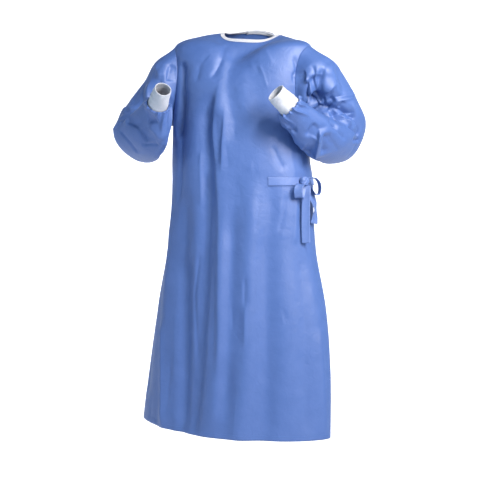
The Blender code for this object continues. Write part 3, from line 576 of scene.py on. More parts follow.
BODY_SCATTER = scattered(
    SMALL_CREASES_BODY,
    BODY_SEED,
    BODY_SCATTER_LOW,
    BODY_SCATTER_HIGH,
    *BODY_SCATTER_RUN,
    SMALL_CREASE_HEIGHT_BODY,
)
BODY_CREASES_ALL = BODY_CREASES + tuple(BODY_SCATTER)


def body_point(level, angle, out=0.0):
    """Point of the gown's body with its main folds and its creases."""
    level, angle = np.broadcast_arrays(np.asarray(level, float), np.asarray(angle, float))
    base = plain_body_point(level, angle)
    normal = body_normals(level, angle)
    points, normals = base.reshape(-1, 3), normal.reshape(-1, 3)
    moved = np.zeros(points.shape)
    for row in BODY_CREASES_ALL:
        crease = dict(zip(CREASE_COLUMNS, row))
        path = spine_rows(crease["path"])
        spine = plain_body_point(path[:, 0], path[:, 1])
        moved += crease_moves(points, normals, spine, body_normals(path[:, 0], path[:, 1]), crease)
    calm = smooth_step((NECK - NECK_CREASE_EDGE - level) / NECK_CREASE_REACH).reshape(-1, 1)
    under_lap = smooth_step((angle - LAP_CALM_FROM) / LAP_CALM_REACH).reshape(-1, 1)
    moved *= calm * (1.0 - LAP_CALM * under_lap)
    return base + (moved + normals * out).reshape(base.shape)


def seam_behind(level):
    """Degrees that the side seams lie behind the sides."""
    forward = smooth_step((level - UNDERARM + SEAM_SWING_START) / SEAM_SWING_LENGTH)
    return SEAM_BEHIND_SKIRT + (SEAM_BEHIND_ARMHOLE - SEAM_BEHIND_SKIRT) * forward


def armhole_bite(level, reach):
    """How far the armhole cuts into a panel at a level, in degrees."""
    middle, half = (UNDERARM + SHOULDER) / 2.0, (SHOULDER - UNDERARM) / 2.0
    return reach * np.sqrt(np.clip(1.0 - ((level - middle) / half) ** 2, 0.0, None))


def body_levels():
    """Levels of the rows, closer together where the armhole turns."""
    skirt = np.linspace(HEM, UNDERARM, SKIRT_ROWS + 1)[:-1]
    turn = np.arange(ARMHOLE_ROWS + 1) * math.pi / ARMHOLE_ROWS
    armhole = (UNDERARM + SHOULDER) / 2.0 - (SHOULDER - UNDERARM) / 2.0 * np.cos(turn)
    shoulder = np.linspace(SHOULDER, NECK, SHOULDER_ROWS + 1)[1:]
    return np.concatenate([skirt, armhole, shoulder])


def panel_angles(name, levels):
    """Angles of a panel's columns at each level, crowded at the armhole."""
    behind = seam_behind(levels)[:, None]
    front_bite = armhole_bite(levels, ARMHOLE_FRONT)[:, None]
    back_bite = armhole_bite(levels, ARMHOLE_BACK)[:, None]
    start, end, start_bite, end_bite, columns = {
        "front": (-180.0 - behind, behind, front_bite, front_bite, FRONT_COLUMNS),
        "back_inner": (behind, INNER_EDGE, back_bite, 0.0, BACK_COLUMNS),
        "back_outer": (OUTER_EDGE, -180.0 - behind, 0.0, back_bite, BACK_COLUMNS),
    }[name]
    share = np.linspace(EDGE_STEP, 1.0 - EDGE_STEP, columns - 1)
    share = np.concatenate([[0.0], share, [1.0]])[None, :]
    angle = start + (end - start) * share
    from_start = np.clip(1.0 - (angle - start) / ARMHOLE_REACH, 0.0, 1.0)
    from_end = np.clip(1.0 - (end - angle) / ARMHOLE_REACH, 0.0, 1.0)
    return angle + start_bite * from_start - end_bite * from_end


def armhole_loop(side):
    """Points of the armhole: shoulder tip, front edge down, underarm, back edge up."""
    turn = np.arange(ARMHOLE_ROWS + 1) * math.pi / ARMHOLE_ROWS
    down = (UNDERARM + SHOULDER) / 2.0 + (SHOULDER - UNDERARM) / 2.0 * np.cos(turn)
    behind = seam_behind(down)
    front = behind - armhole_bite(down, ARMHOLE_FRONT)
    back = (behind + armhole_bite(down, ARMHOLE_BACK))[::-1]
    levels = np.concatenate([down, down[::-1][1:-1]])
    angles = np.concatenate([front, back[1:-1]])
    if side == "right":
        angles = -180.0 - angles
    return body_point(levels, angles)


def sleeve_sections(side):
    """Loops of a sleeve from the armhole to the cuff, all with the same number of points."""
    armhole = armhole_loop(side)
    count = len(armhole)
    turn = 2.0 * math.pi * np.arange(count)[:, None] / count
    loops = [armhole]
    for row in np.array(SLEEVE_RIGHT if side == "right" else SLEEVE_LEFT):
        at = dict(zip(SLEEVE_COLUMNS, row))
        across = (at["outside"] - at["body_side"]) / 2.0
        forward = (at["crook"] - at["elbow_side"]) / 2.0
        squash = (at["outside"] - at["crook"] + at["body_side"] - at["elbow_side"]) / 4.0
        loop = row.mean(axis=0) + across * np.cos(turn) + forward * np.sin(turn)
        loops.append(loop + squash * np.cos(2.0 * turn))
    cuff_base, cuff_radius, cuff_tip, _ = CUFFS[side]
    axis = unit(np.array(cuff_tip) - np.array(cuff_base))
    last = loops[-1] - loops[-1].mean(axis=0)
    toward_crook = unit(last[count // 4] - axis * (last[count // 4] @ axis))
    sideways = np.cross(toward_crook, axis)
    if sideways @ last[0] < 0.0:
        sideways = -sideways
    spoke = toward_crook * np.sin(turn) + sideways * np.cos(turn)
    radius = cuff_radius + CUFF_RIB_HEIGHT + CLOTH + SLEEVE_OFF_CUFF
    loops.append(np.array(cuff_base) - axis * CUFF_LAP + spoke * (radius + GATHER_BULGE))
    loops.append(np.array(cuff_base) + axis * CUFF_LAP + spoke * radius)
    return np.array(loops)


def gather_lift(place, angle, last):
    """Height of the uneven gathers that run back from the cuff."""
    total = np.zeros(np.broadcast(place, angle).shape)
    for k in range(GATHERS):
        own = (k * GOLDEN_SHARE) % 1.0
        centre = 360.0 * k / GATHERS + GATHER_TURN_PLAY * math.sin(GATHER_TURN_STEP * k)
        spread = 360.0 / GATHERS * (GATHER_SPREAD[0] + GATHER_SPREAD[1] * own)
        start = last - GATHER_LENGTH[0] - GATHER_LENGTH[1] * own
        run = smooth_step((place - start) / GATHER_RISE) * smooth_step((last - place) / GATHER_FALL)
        size = GATHER_SIZE[0] + GATHER_SIZE[1] * own
        total = total + size * run * np.exp(-((degrees_off(angle, centre) / spread) ** 2))
    return GATHER_HEIGHT * total


def grid_normals(grid, around):
    """Unit normals of a grid whose columns close into a ring when around is set."""
    if around:
        across = np.roll(grid, -1, axis=1) - np.roll(grid, 1, axis=1)
    else:
        across = np.gradient(grid, axis=1)
    return unit(np.cross(across, np.gradient(grid, axis=0)))


def on_ring_grid(grid, row, column):
    """Value of a ring grid at fractional rows and columns."""
    count = grid.shape[1]
    row = np.clip(row, 0.0, len(grid) - 1.001)
    first, left = row.astype(int), np.floor(column).astype(int)
    past_first, past_left = (row - first)[:, None], (column - left)[:, None]
    left, right = left % count, (left + 1) % count
    start = grid[first, left] * (1.0 - past_left) + grid[first, right] * past_left
    end = grid[first + 1, left] * (1.0 - past_left) + grid[first + 1, right] * past_left
    return start * (1.0 - past_first) + end * past_first


def sleeve_grid(side):
    """Points of a sleeve with its creases and the gathers at the cuff."""
    loops = sleeve_sections(side)
    last = len(loops) - 1
    along = np.linspace(0.0, last, last * SLEEVE_ROWS_PER_SECTION + 1)
    base = through_rows(loops, along)
    normal = grid_normals(base, True)
    outward = base - base.mean(axis=1, keepdims=True)
    normal *= np.sign((normal * outward).sum(axis=-1).mean())
    count = base.shape[1]
    angle = 360.0 * np.arange(count)[None, :] / count
    place = along[:, None]
    lift = np.zeros(base.shape[:2])
    for row in WIDE_CREASES_RIGHT if side == "right" else WIDE_CREASES_LEFT:
        crease = dict(zip(WIDE_CREASE_COLUMNS, row))
        off = degrees_off(angle, crease["angle"])
        along_off = (place - crease["along"]) / crease["half_length"]
        lift = lift + crease["height"] * np.exp(-(along_off**2) - (off / crease["spread"]) ** 2)
    grid = base + normal * (lift * smooth_step(place / ARMHOLE_CALM))[..., None]
    points, normals = grid.reshape(-1, 3), normal.reshape(-1, 3)
    moved = np.zeros(points.shape)
    seed = SLEEVE_SEEDS[side]
    small = radiating(STAR_CREASES, seed, STAR_MIDDLE[side], *STAR_REACH, STAR_HEIGHT)
    small += scattered(
        SMALL_CREASES_SLEEVE,
        seed,
        SLEEVE_SCATTER_LOW,
        SLEEVE_SCATTER_HIGH,
        *SLEEVE_SCATTER_RUN,
        SMALL_CREASE_HEIGHT_SLEEVE,
    )
    placed = CREASES_RIGHT if side == "right" else CREASES_LEFT
    for number, row in enumerate(placed + tuple(small)):
        crease = dict(zip(CREASE_COLUMNS, row))
        if number < len(placed):
            crease["near_width"] *= PLACED_CREASE_NEAR
            crease["far_width"] *= PLACED_CREASE_FAR
        path = spine_rows(crease["path"])
        at_row, at_column = path[:, 0] * SLEEVE_ROWS_PER_SECTION, path[:, 1] / 360.0 * count
        spine = on_ring_grid(grid, at_row, at_column)
        spine_normal = unit(on_ring_grid(normal, at_row, at_column))
        moved += crease_moves(points, normals, spine, spine_normal, crease)
    moved *= SLEEVE_CREASE_DEPTH[side]
    calm = smooth_step(place / CREASE_CALM) * smooth_step((last - CUFF_CALM_EDGE - place) / CUFF_CALM_REACH)
    moved = moved.reshape(grid.shape) * calm[..., None]
    return grid + moved + normal * gather_lift(place, angle, last)[..., None]


def level_of_height(height):
    """Level of the body at a height in the skirt or waist."""
    levels = np.linspace(HEM, UNDERARM, HEIGHT_STEPS)
    heights = through_rows(BODY_SECTIONS, levels)[:, 0]
    return np.interp(height, heights, levels)


# Mesh building


def in_scene(name, data):
    """New object with its data, put in the scene."""
    thing = bpy.data.objects.new(name, data)
    bpy.context.scene.collection.objects.link(thing)
    return thing


def piece_from_grid(name, grid, material, around=False, along=False, wall=0.0, offset=-1.0):
    """Smooth mesh through a grid of points, with lengths in metres as its UV map."""
    rows, columns = grid.shape[:2]
    index = np.arange(rows * columns).reshape(rows, columns)
    lower = np.arange(rows if along else rows - 1)
    left = np.arange(columns if around else columns - 1)
    upper, right = (lower + 1) % rows, (left + 1) % columns
    corners = ((lower, left), (lower, right), (upper, right), (upper, left))
    faces = np.stack([index[np.ix_(*corner)] for corner in corners], axis=-1).reshape(-1, 4)
    mesh = bpy.data.meshes.new(name)
    mesh.from_pydata(grid.reshape(-1, 3).tolist(), [], faces.tolist())
    closed = np.concatenate([grid, grid[:, :1]], axis=1) if around else grid
    closed = np.concatenate([closed, closed[:1]], axis=0) if along else closed
    across = np.linalg.norm(np.diff(closed, axis=1), axis=-1).mean(axis=0)
    run = np.linalg.norm(np.diff(closed, axis=0), axis=-1).mean(axis=1)
    u = np.concatenate([[0.0], np.cumsum(across)])
    v = np.concatenate([[0.0], np.cumsum(run)])
    corner_u = np.stack([u[left], u[left + 1], u[left + 1], u[left]], axis=-1)
    corner_v = np.stack([v[lower], v[lower], v[lower + 1], v[lower + 1]], axis=-1)
    uv = np.stack(np.broadcast_arrays(corner_u[None, :, :], corner_v[:, None, :]), axis=-1)
    layer = mesh.uv_layers.new(name="cloth_metres")
    layer.data.foreach_set("uv", uv.reshape(-1).astype(np.float32))
    mesh.shade_smooth()
    mesh.materials.append(material)
    piece = in_scene(name, mesh)
    if wall > 0.0:
        thick = piece.modifiers.new("cloth", "SOLIDIFY")
        thick.thickness = wall
        thick.offset = offset
        thick.use_even_offset = False
    return piece


def facing_out(grid, hint):
    """The same grid, its columns turned round when its faces would look along minus the hint."""
    along = grid[1:, :-1] - grid[:-1, :-1]
    around = grid[:-1, 1:] - grid[:-1, :-1]
    look = (np.cross(around, along) * hint[:-1, :-1]).sum()
    return grid if look > 0.0 else grid[:, ::-1]


# Materials

# Spacing of the bonded dots in metres, and how fine each noise of a surface is
DOT_SPACING = 0.0022
FIBRE_SCALE = 900.0
CLOUD_SCALE = 26.0
CRUMPLE_SCALE = 42.0
FUZZ_SCALE = 1400.0
TWIST_SCALE = 2500.0


class Shade:
    """A socket of a shader tree that takes part in sums like a number."""

    def __init__(self, tree, socket):
        self.tree = tree
        self.socket = socket

    def _math(self, operation, first, second):
        return add_node(self.tree, "ShaderNodeMath", {"operation": operation}, {0: first, 1: second})

    def __add__(self, other):
        return self._math("ADD", self, other)

    def __radd__(self, other):
        return self._math("ADD", other, self)

    def __sub__(self, other):
        return self._math("SUBTRACT", self, other)

    def __rsub__(self, other):
        return self._math("SUBTRACT", other, self)

    def __mul__(self, other):
        return self._math("MULTIPLY", self, other)

    def __rmul__(self, other):
        return self._math("MULTIPLY", other, self)

    def __truediv__(self, other):
        return self._math("DIVIDE", self, other)

    def __rtruediv__(self, other):
        return self._math("DIVIDE", other, self)


def add_node(tree, kind, settings=None, values=None, output=0):
    """A node with its settings, its sockets filled with values or links, and one of its outputs."""
    node = tree.nodes.new(kind)
    for name, value in (settings or {}).items():
        setattr(node, name, value)
    for key, value in (values or {}).items():
        if isinstance(value, Shade):
            tree.links.new(value.socket, node.inputs[key])
        else:
            node.inputs[key].default_value = value
    return Shade(tree, node.outputs[output])


def mix_colours(tree, share, first, second):
    """Colour between two, by a share from 0 to 1."""
    return add_node(
        tree, "ShaderNodeMix", {"data_type": "RGBA"}, {0: share, 6: (*first, 1.0), 7: (*second, 1.0)}, 2
    )


def new_material(name):
    """New material, its node tree and its main shader."""
    material = bpy.data.materials.new(name)
    material.use_nodes = True
    return material, material.node_tree, material.node_tree.nodes["Principled BSDF"]


def wave(tree, value, length):
    """Cosine of a value with a wave length."""
    return add_node(tree, "ShaderNodeMath", {"operation": "COSINE"}, {0: value * (2.0 * math.pi / length)})


def cloth_coordinates(tree):
    """Map of the cloth in metres, and its two numbers."""
    coordinates = add_node(tree, "ShaderNodeUVMap", {"uv_map": "cloth_metres"})
    split = tree.nodes.new("ShaderNodeSeparateXYZ")
    tree.links.new(coordinates.socket, split.inputs[0])
    return coordinates, Shade(tree, split.outputs[0]), Shade(tree, split.outputs[1])


def noise(tree, coordinates, scale, detail=2.0, roughness=0.5, distortion=0.0):
    """Noise from 0 to 1 at coordinates."""
    values = {"Vector": coordinates, "Scale": scale, "Detail": detail}
    values.update({"Roughness": roughness, "Distortion": distortion})
    return add_node(tree, "ShaderNodeTexNoise", {}, values)


def set_shader(tree, shader, values):
    """Sets inputs of a shader to values, or links sockets to them."""
    for name, value in values.items():
        if isinstance(value, Shade):
            tree.links.new(value.socket, shader.inputs[name])
        else:
            shader.inputs[name].default_value = value


def bump(tree, shader, layers):
    """Bump nodes in a row, each with a height, a strength and a distance in metres, onto the normal."""
    below = None
    for height, strength, distance in layers:
        values = {"Height": height, "Strength": strength, "Distance": distance}
        if below is not None:
            values["Normal"] = below
        below = add_node(tree, "ShaderNodeBump", {}, values)
    tree.links.new(below.socket, shader.inputs["Normal"])


def nonwoven_cloth(name, deep, light, roughness=0.52):
    """Blue bonded fibre cloth: rows of bonded dots, long fibres, soft crumple and a soft sheen."""
    material, tree, shader = new_material(name)
    coordinates, u, v = cloth_coordinates(tree)
    dots = wave(tree, u + v, DOT_SPACING) * wave(tree, u - v, DOT_SPACING)
    place = add_node(tree, "ShaderNodeTexCoord", {}, {}, 3)
    fibres = noise(tree, coordinates, FIBRE_SCALE, 3.0, 0.6, 1.5)
    cloud = noise(tree, place, CLOUD_SCALE, 3.0, 0.55)
    crumple = noise(tree, place, CRUMPLE_SCALE, 4.0, 0.55, 0.8)
    blend = 0.5 * cloud + 0.35 * fibres + 0.06 * dots
    colour = mix_colours(tree, blend, deep, light)
    rough = roughness - 0.06 + 0.12 * fibres
    set_shader(tree, shader, {"Base Color": colour, "Roughness": rough})
    set_shader(tree, shader, {"IOR": 1.45, "Specular IOR Level": 1.0})
    sheen_tint = (0.75, 0.84, 1.0, 1.0)
    set_shader(tree, shader, {"Sheen Weight": 0.06, "Sheen Roughness": 0.45, "Sheen Tint": sheen_tint})
    bump(tree, shader, ((crumple, 0.35, 0.004), (dots, 0.25, 0.0002), (fibres, 0.30, 0.0002)))
    return material


def white_knit(name, wale, course):
    """White ribbed knit: wales along the cloth, courses across, and a soft fuzz."""
    material, tree, shader = new_material(name)
    coordinates, u, v = cloth_coordinates(tree)
    loops = wave(tree, u, wale) * (0.7 + 0.3 * wave(tree, v, course))
    fuzz = noise(tree, coordinates, FUZZ_SCALE, 3.0, 0.6)
    blend = 0.45 + 0.25 * loops + 0.3 * fuzz
    colour = mix_colours(tree, blend, (0.44, 0.45, 0.49), (0.70, 0.70, 0.73))
    rough = 0.78 + 0.12 * fuzz
    set_shader(tree, shader, {"Base Color": colour, "Roughness": rough})
    set_shader(tree, shader, {"Sheen Weight": 0.25, "Sheen Roughness": 0.6})
    bump(tree, shader, ((loops, 0.6, 0.0004), (fuzz, 0.4, 0.0002)))
    return material


def thread(name, colour):
    """Sewing thread with a fine twist."""
    material, tree, shader = new_material(name)
    place = add_node(tree, "ShaderNodeTexCoord", {}, {}, 3)
    twist = noise(tree, place, TWIST_SCALE, 2.0)
    mixed = mix_colours(tree, twist, tuple(0.8 * channel for channel in colour), colour)
    set_shader(tree, shader, {"Base Color": mixed, "Roughness": 0.6})
    bump(tree, shader, ((twist, 0.4, 0.0001),))
    return material


BLUE = nonwoven_cloth("blue_nonwoven", (0.037, 0.099, 0.305), (0.092, 0.170, 0.432))
# The ties are the gown's own blue cloth painted lighter: painted light, where the ties face up and out
# towards the lamps.
BLUE_TIE_PAINTED_LIGHTER = nonwoven_cloth("blue_tie_painted_lighter", (0.070, 0.140, 0.370), (0.135, 0.215, 0.490), 0.50)
KNIT = white_knit("white_knit_cuff", 0.0016, 0.0012)
BINDING = white_knit("white_binding", 0.0014, 0.0010)
THREAD_BLUE = thread("blue_thread", (0.10, 0.22, 0.55))
THREAD_WHITE = thread("white_thread", (0.85, 0.87, 0.92))


# Geometry node trees


def new_tree(name, inputs):
    """Geometry node tree with named inputs: socket type and default value each."""
    tree = bpy.data.node_groups.new(name, "GeometryNodeTree")
    tree.interface.new_socket("Geometry", in_out="INPUT", socket_type="NodeSocketGeometry")
    for label, (kind, value) in inputs.items():
        socket = tree.interface.new_socket(label, in_out="INPUT", socket_type=kind)
        if value is not None:
            socket.default_value = value
    tree.interface.new_socket("Geometry", in_out="OUTPUT", socket_type="NodeSocketGeometry")
    start, end = tree.nodes.new("NodeGroupInput"), tree.nodes.new("NodeGroupOutput")
    return tree, start, end


def rib_tree():
    """Raises ribs along the normals; the mesh holds where each point lies round the piece, from 0 to 1."""
    tree, start, end = new_tree(
        "knitted_ribs",
        {
            "Rib Count": ("NodeSocketFloat", 60.0),
            "Rib Height": ("NodeSocketFloat", 0.0004),
            "Knit": ("NodeSocketMaterial", None),
        },
    )
    around, strength = (
        add_node(tree, "GeometryNodeInputNamedAttribute", {"data_type": "FLOAT"}, {"Name": name})
        for name in ("around", "rib_strength")
    )
    names = ("Geometry", "Rib Count", "Rib Height", "Knit")
    geometry, count, height, knit = (Shade(tree, start.outputs[name]) for name in names)
    turn = around * count * (2.0 * math.pi)
    rib = add_node(tree, "ShaderNodeMath", {"operation": "COSINE"}, {0: turn}) * height * strength
    normal = Shade(tree, tree.nodes.new("GeometryNodeInputNormal").outputs[0])
    offset = add_node(tree, "ShaderNodeVectorMath", {"operation": "SCALE"}, {0: normal, "Scale": rib})
    moved = add_node(tree, "GeometryNodeSetPosition", {}, {"Geometry": geometry, "Offset": offset})
    real = add_node(tree, "GeometryNodeRealizeInstances", {}, {"Geometry": moved})
    dressed = add_node(tree, "GeometryNodeSetMaterial", {}, {"Geometry": real, "Material": knit})
    tree.links.new(dressed.socket, end.inputs[0])
    return tree


def stitch_tree():
    """Stitches along a line: short rounded threads, evenly spaced with a little unevenness."""
    tree, start, end = new_tree(
        "stitches",
        {
            "Spacing": ("NodeSocketFloat", 0.003),
            "Stitch Length": ("NodeSocketFloat", 0.0022),
            "Thread Radius": ("NodeSocketFloat", 0.0002),
            "Unevenness": ("NodeSocketFloat", 0.06),
            "Seed": ("NodeSocketInt", 3),
            "Thread": ("NodeSocketMaterial", None),
        },
    )
    names = ("Geometry", "Spacing", "Stitch Length", "Thread Radius", "Unevenness", "Seed", "Thread")
    inputs = {name: Shade(tree, start.outputs[name]) for name in names}
    line = add_node(tree, "GeometryNodeMeshToCurve", {}, {"Mesh": inputs["Geometry"]})
    resampled = tree.nodes.new("GeometryNodeResampleCurve")
    resampled.mode = "LENGTH"
    tree.links.new(line.socket, resampled.inputs["Curve"])
    tree.links.new(inputs["Spacing"].socket, resampled.inputs["Length"])
    tangent = Shade(tree, tree.nodes.new("GeometryNodeInputTangent").outputs[0])
    turned = add_node(tree, "FunctionNodeAlignRotationToVector", {"axis": "Z"}, {"Vector": tangent})
    shape = add_node(
        tree,
        "GeometryNodeMeshCylinder",
        {"fill_type": "TRIANGLE_FAN"},
        {"Vertices": 6, "Radius": inputs["Thread Radius"], "Depth": inputs["Stitch Length"]},
    )
    jitter = add_node(
        tree,
        "FunctionNodeRandomValue",
        {"data_type": "FLOAT"},
        {2: 1.0 - inputs["Unevenness"], 3: 1.0 + inputs["Unevenness"], "Seed": inputs["Seed"]},
        1,
    )
    placed = add_node(
        tree,
        "GeometryNodeInstanceOnPoints",
        {},
        {"Points": Shade(tree, resampled.outputs[0]), "Instance": shape, "Rotation": turned, "Scale": jitter},
    )
    real = add_node(tree, "GeometryNodeRealizeInstances", {}, {"Geometry": placed})
    dressed = add_node(tree, "GeometryNodeSetMaterial", {}, {"Geometry": real, "Material": inputs["Thread"]})
    tree.links.new(dressed.socket, end.inputs[0])
    return tree


def grown(piece, tree, values):
    """Puts a tree on a piece, sets its inputs and turns the result into a plain mesh."""
    modifier = piece.modifiers.new(tree.name, "NODES")
    modifier.node_group = tree
    for item in tree.interface.items_tree:
        if item.item_type == "SOCKET" and item.in_out == "INPUT" and item.name in values:
            modifier[item.identifier] = values[item.name]
    bpy.context.view_layer.update()
    mesh = bpy.data.meshes.new_from_object(piece.evaluated_get(bpy.context.evaluated_depsgraph_get()))
    mesh.name = piece.name
    piece.modifiers.remove(modifier)
    piece.data = mesh
    return piece


RIBS = rib_tree()
STITCHES = stitch_tree()


def stitch_line(name, points, thread_material, spacing=0.003, length=0.0022, radius=0.0002):
    """Row of stitches through points."""
    mesh = bpy.data.meshes.new(name)
    mesh.from_pydata([tuple(p) for p in points], [(k, k + 1) for k in range(len(points) - 1)], [])
    piece = in_scene(name, mesh)
    values = {"Spacing": spacing, "Stitch Length": length, "Thread Radius": radius}
    values.update({"Seed": len(name), "Thread": thread_material})
    grown(piece, STITCHES, values)
    piece.data.shade_smooth()
    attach(piece, "root")
    return piece


# The gown's pieces


def dress(piece, nodes):
    """Puts a piece on the body it rides on and hides the nodes it replaces."""
    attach(piece, "root")
    for node in nodes:
        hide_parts(node)


LEVELS = body_levels()
PANELS = {}
for panel, node in (
    ("front_panel", "front"),
    ("outer_back_panel", "back_outer"),
    ("inner_back_panel", "back_inner"),
):
    grid = body_point(LEVELS[:, None], panel_angles(node, LEVELS))
    grid = facing_out(grid, grid * (1.0, 1.0, 0.0))
    PANELS[node] = grid
    piece = piece_from_grid(panel, grid, BLUE, wall=CLOTH)
    dress(piece, [node])

SLEEVES = {}
for side in ("right", "left"):
    grid = sleeve_grid(side)
    grid = facing_out(grid, grid - grid.mean(axis=1, keepdims=True))
    SLEEVES[side] = grid
    piece = piece_from_grid(side + "_sleeve", grid, BLUE, around=True, wall=CLOTH)
    dress(piece, ["sleeve_" + side])


def cuff_slack(turn, share):
    """Soft creases of the knit: a slow sway round the cuff and uneven wrinkles along it."""
    sways_round, sways_along = 3.0, 5.0
    wrinkles_along, wrinkle_swing = 8.0, 2.4
    uneven_round, uneven_along = 2.0, 3.0
    sway = CUFF_SWAY * np.sin(sways_round * turn + sways_along * share)
    wrinkle = CUFF_WRINKLE * np.sin(wrinkles_along * share * math.pi + wrinkle_swing * np.cos(turn))
    uneven = 0.6 + 0.4 * np.sin(uneven_round * turn + uneven_along * share)
    along = min(share, 1.0)
    calm = smooth_step(along / CUFF_SLACK_RISE) * smooth_step((1.1 - along) / CUFF_SLACK_RISE)
    return (sway + wrinkle * uneven) * calm


def cuff_grid(side):
    """Closed wall of a knitted cuff with soft creases: outside up, over the rim, inside down."""
    base, base_radius, tip, tip_radius = CUFFS[side]
    base, tip = np.array(base), np.array(tip)
    axis = unit(tip - base)
    first = unit(np.cross(axis, (0.0, 0.0, 1.0)))
    second = np.cross(axis, first)
    turn = 2.0 * math.pi * np.arange(CUFF_COLUMNS)[:, None] / CUFF_COLUMNS
    spoke = first * np.cos(turn) + second * np.sin(turn)
    rows, strength = [], []
    outside = [(share, 0.0) for share in np.linspace(0.0, 1.0, CUFF_ROWS)]
    rim = [
        (1.0 + CUFF_RIM * math.sin(bend), CUFF_WALL / 2.0 * (1.0 - math.cos(bend)))
        for bend in np.linspace(0.0, math.pi, FOLD_STEPS)[1:-1]
    ]
    inside = [(share, CUFF_WALL) for share in np.linspace(1.0, 0.0, CUFF_ROWS)]
    for share, inward in outside + rim + inside:
        radius = base_radius + (tip_radius - base_radius) * share - inward + cuff_slack(turn, share)
        rows.append(base + (tip - base) * share + spoke * radius)
        strength.append(1.0 if inward == 0.0 else 0.0)
    return np.array(rows), np.array(strength)


for side in ("right", "left"):
    grid, strength = cuff_grid(side)
    outside = grid[:CUFF_ROWS]
    turned = facing_out(outside, outside - outside.mean(axis=1, keepdims=True)) is not outside
    grid = grid[:, ::-1] if turned else grid
    piece = piece_from_grid(side + "_cuff", grid, KNIT, around=True, along=True)
    rows, columns = grid.shape[:2]
    around = piece.data.attributes.new("around", "FLOAT", "POINT")
    around.data.foreach_set("value", np.tile(np.arange(columns) / columns, rows).astype(np.float32))
    ribbed = piece.data.attributes.new("rib_strength", "FLOAT", "POINT")
    ribbed.data.foreach_set("value", np.repeat(strength, columns).astype(np.float32))
    grown(piece, RIBS, {"Rib Count": float(CUFF_RIBS), "Rib Height": CUFF_RIB_HEIGHT, "Knit": KNIT})
    dress(piece, ["cuff_" + side])


def neck_column_points(depths, offset):
    """Points at depths below the neck edge along the cloth, moved out along its normal."""
    levels = np.linspace(NECK - BINDING_DEPTH_LEVELS, NECK, BINDING_LEVELS)
    nodes = ("back_inner", "front", "back_outer")
    strips = [body_point(levels[:, None], panel_angles(node, levels))[:, ::-1] for node in nodes]
    grid = np.concatenate(strips, axis=1)[::-1]
    normal = grid_normals(grid, False)
    middle = grid[0].mean(axis=0)
    normal *= np.sign(((grid - middle) * (1.0, 1.0, 0.0) * normal).sum(axis=-1).mean())
    lengths = lengths_down(grid)
    result = []
    for depth in depths:
        row = []
        for column in range(grid.shape[1]):
            at = np.interp(depth, lengths[:, column], np.arange(len(lengths)))
            low = min(int(at), len(lengths) - 2)
            share = at - low
            point = grid[low, column] * (1.0 - share) + grid[low + 1, column] * share
            row.append(point + normal[low, column] * offset)
        result.append(row)
    return np.array(result)


def binding_grid():
    """Strip folded over the neck edge: outer leg up, over the edge, inner leg down."""
    outer = neck_column_points(np.linspace(BINDING_WIDTH, 0.0, BINDING_ROWS), BINDING_OFF)
    inner = neck_column_points(np.linspace(0.0, BINDING_INNER_WIDTH, BINDING_ROWS), -CLOTH - BINDING_OFF)
    up = unit(outer[-1] - outer[-3])
    across = (outer[-1] - inner[0]) / 2.0
    middle = (outer[-1] + inner[0]) / 2.0
    radius = np.linalg.norm(across, axis=-1, keepdims=True)
    bends = np.linspace(0.0, math.pi, FOLD_STEPS)[1:-1]
    fold = [middle + across * math.cos(bend) + up * radius * math.sin(bend) for bend in bends]
    return np.concatenate([outer, np.array(fold), inner])


grid = binding_grid()
outer_leg = grid[:BINDING_ROWS]
neck_turned = facing_out(outer_leg, (outer_leg - grid.mean(axis=(0, 1))) * (1.0, 1.0, 0.0)) is not outer_leg
NECK_STRIP = grid[:, ::-1] if neck_turned else grid
piece = piece_from_grid("neck_binding_strip", NECK_STRIP, BINDING, wall=BINDING_CLOTH, offset=1.0)
dress(piece, ["neck_binding"])


def belt_grid(start, end, rows=9):
    """Strip lying on the body at the belt's height, from one angle to another."""
    angles = np.linspace(start, end, int(abs(end - start) * BELT_COLUMNS_PER_DEGREE) + 4)
    grid = []
    low, high = BELT_HEIGHT - TIE_WIDTH / 2.0, BELT_HEIGHT + TIE_WIDTH / 2.0
    for height in np.linspace(low, high, rows):
        level = level_of_height(height)
        over = plain_body_point(level, np.minimum(angles, TUCK_FROM), TIE_OFF_BODY)
        past = plain_body_point(level, angles - 360.0, TIE_OFF_BODY)
        grid.append(np.where((angles > TUCK_FROM)[:, None], past, over))
    return np.array(grid)


def bow_grid(stations, per_station=8, across=9, curl=0.0012):
    """Strip of tie along its stations, laid out from the body and a little hollow across."""
    last = len(stations) - 1
    rows = through_rows(stations, np.linspace(0.0, last, last * per_station + 1))
    at = dict(zip(BOW_COLUMNS, rows.T))
    level = level_of_height(at["height"])
    middle = plain_body_point(level, at["angle"], at["out"])
    normal = unit(middle - plain_body_point(level, at["angle"]))
    line = unit(np.gradient(middle, axis=0))
    round_body = unit(np.cross((0.0, 0.0, 1.0), normal))
    turned = np.radians(at["turn"])[:, None]
    width = round_body * np.cos(turned) + normal * np.sin(turned)
    width -= line * (width * line).sum(axis=-1, keepdims=True)
    width = unit(width)
    face = np.cross(line, width)
    stops = np.linspace(-0.5, 0.5, across)
    return np.array([
        middle + width * TIE_WIDTH * stop + face * curl * (4.0 * stop**2 - 0.4) for stop in stops
    ])


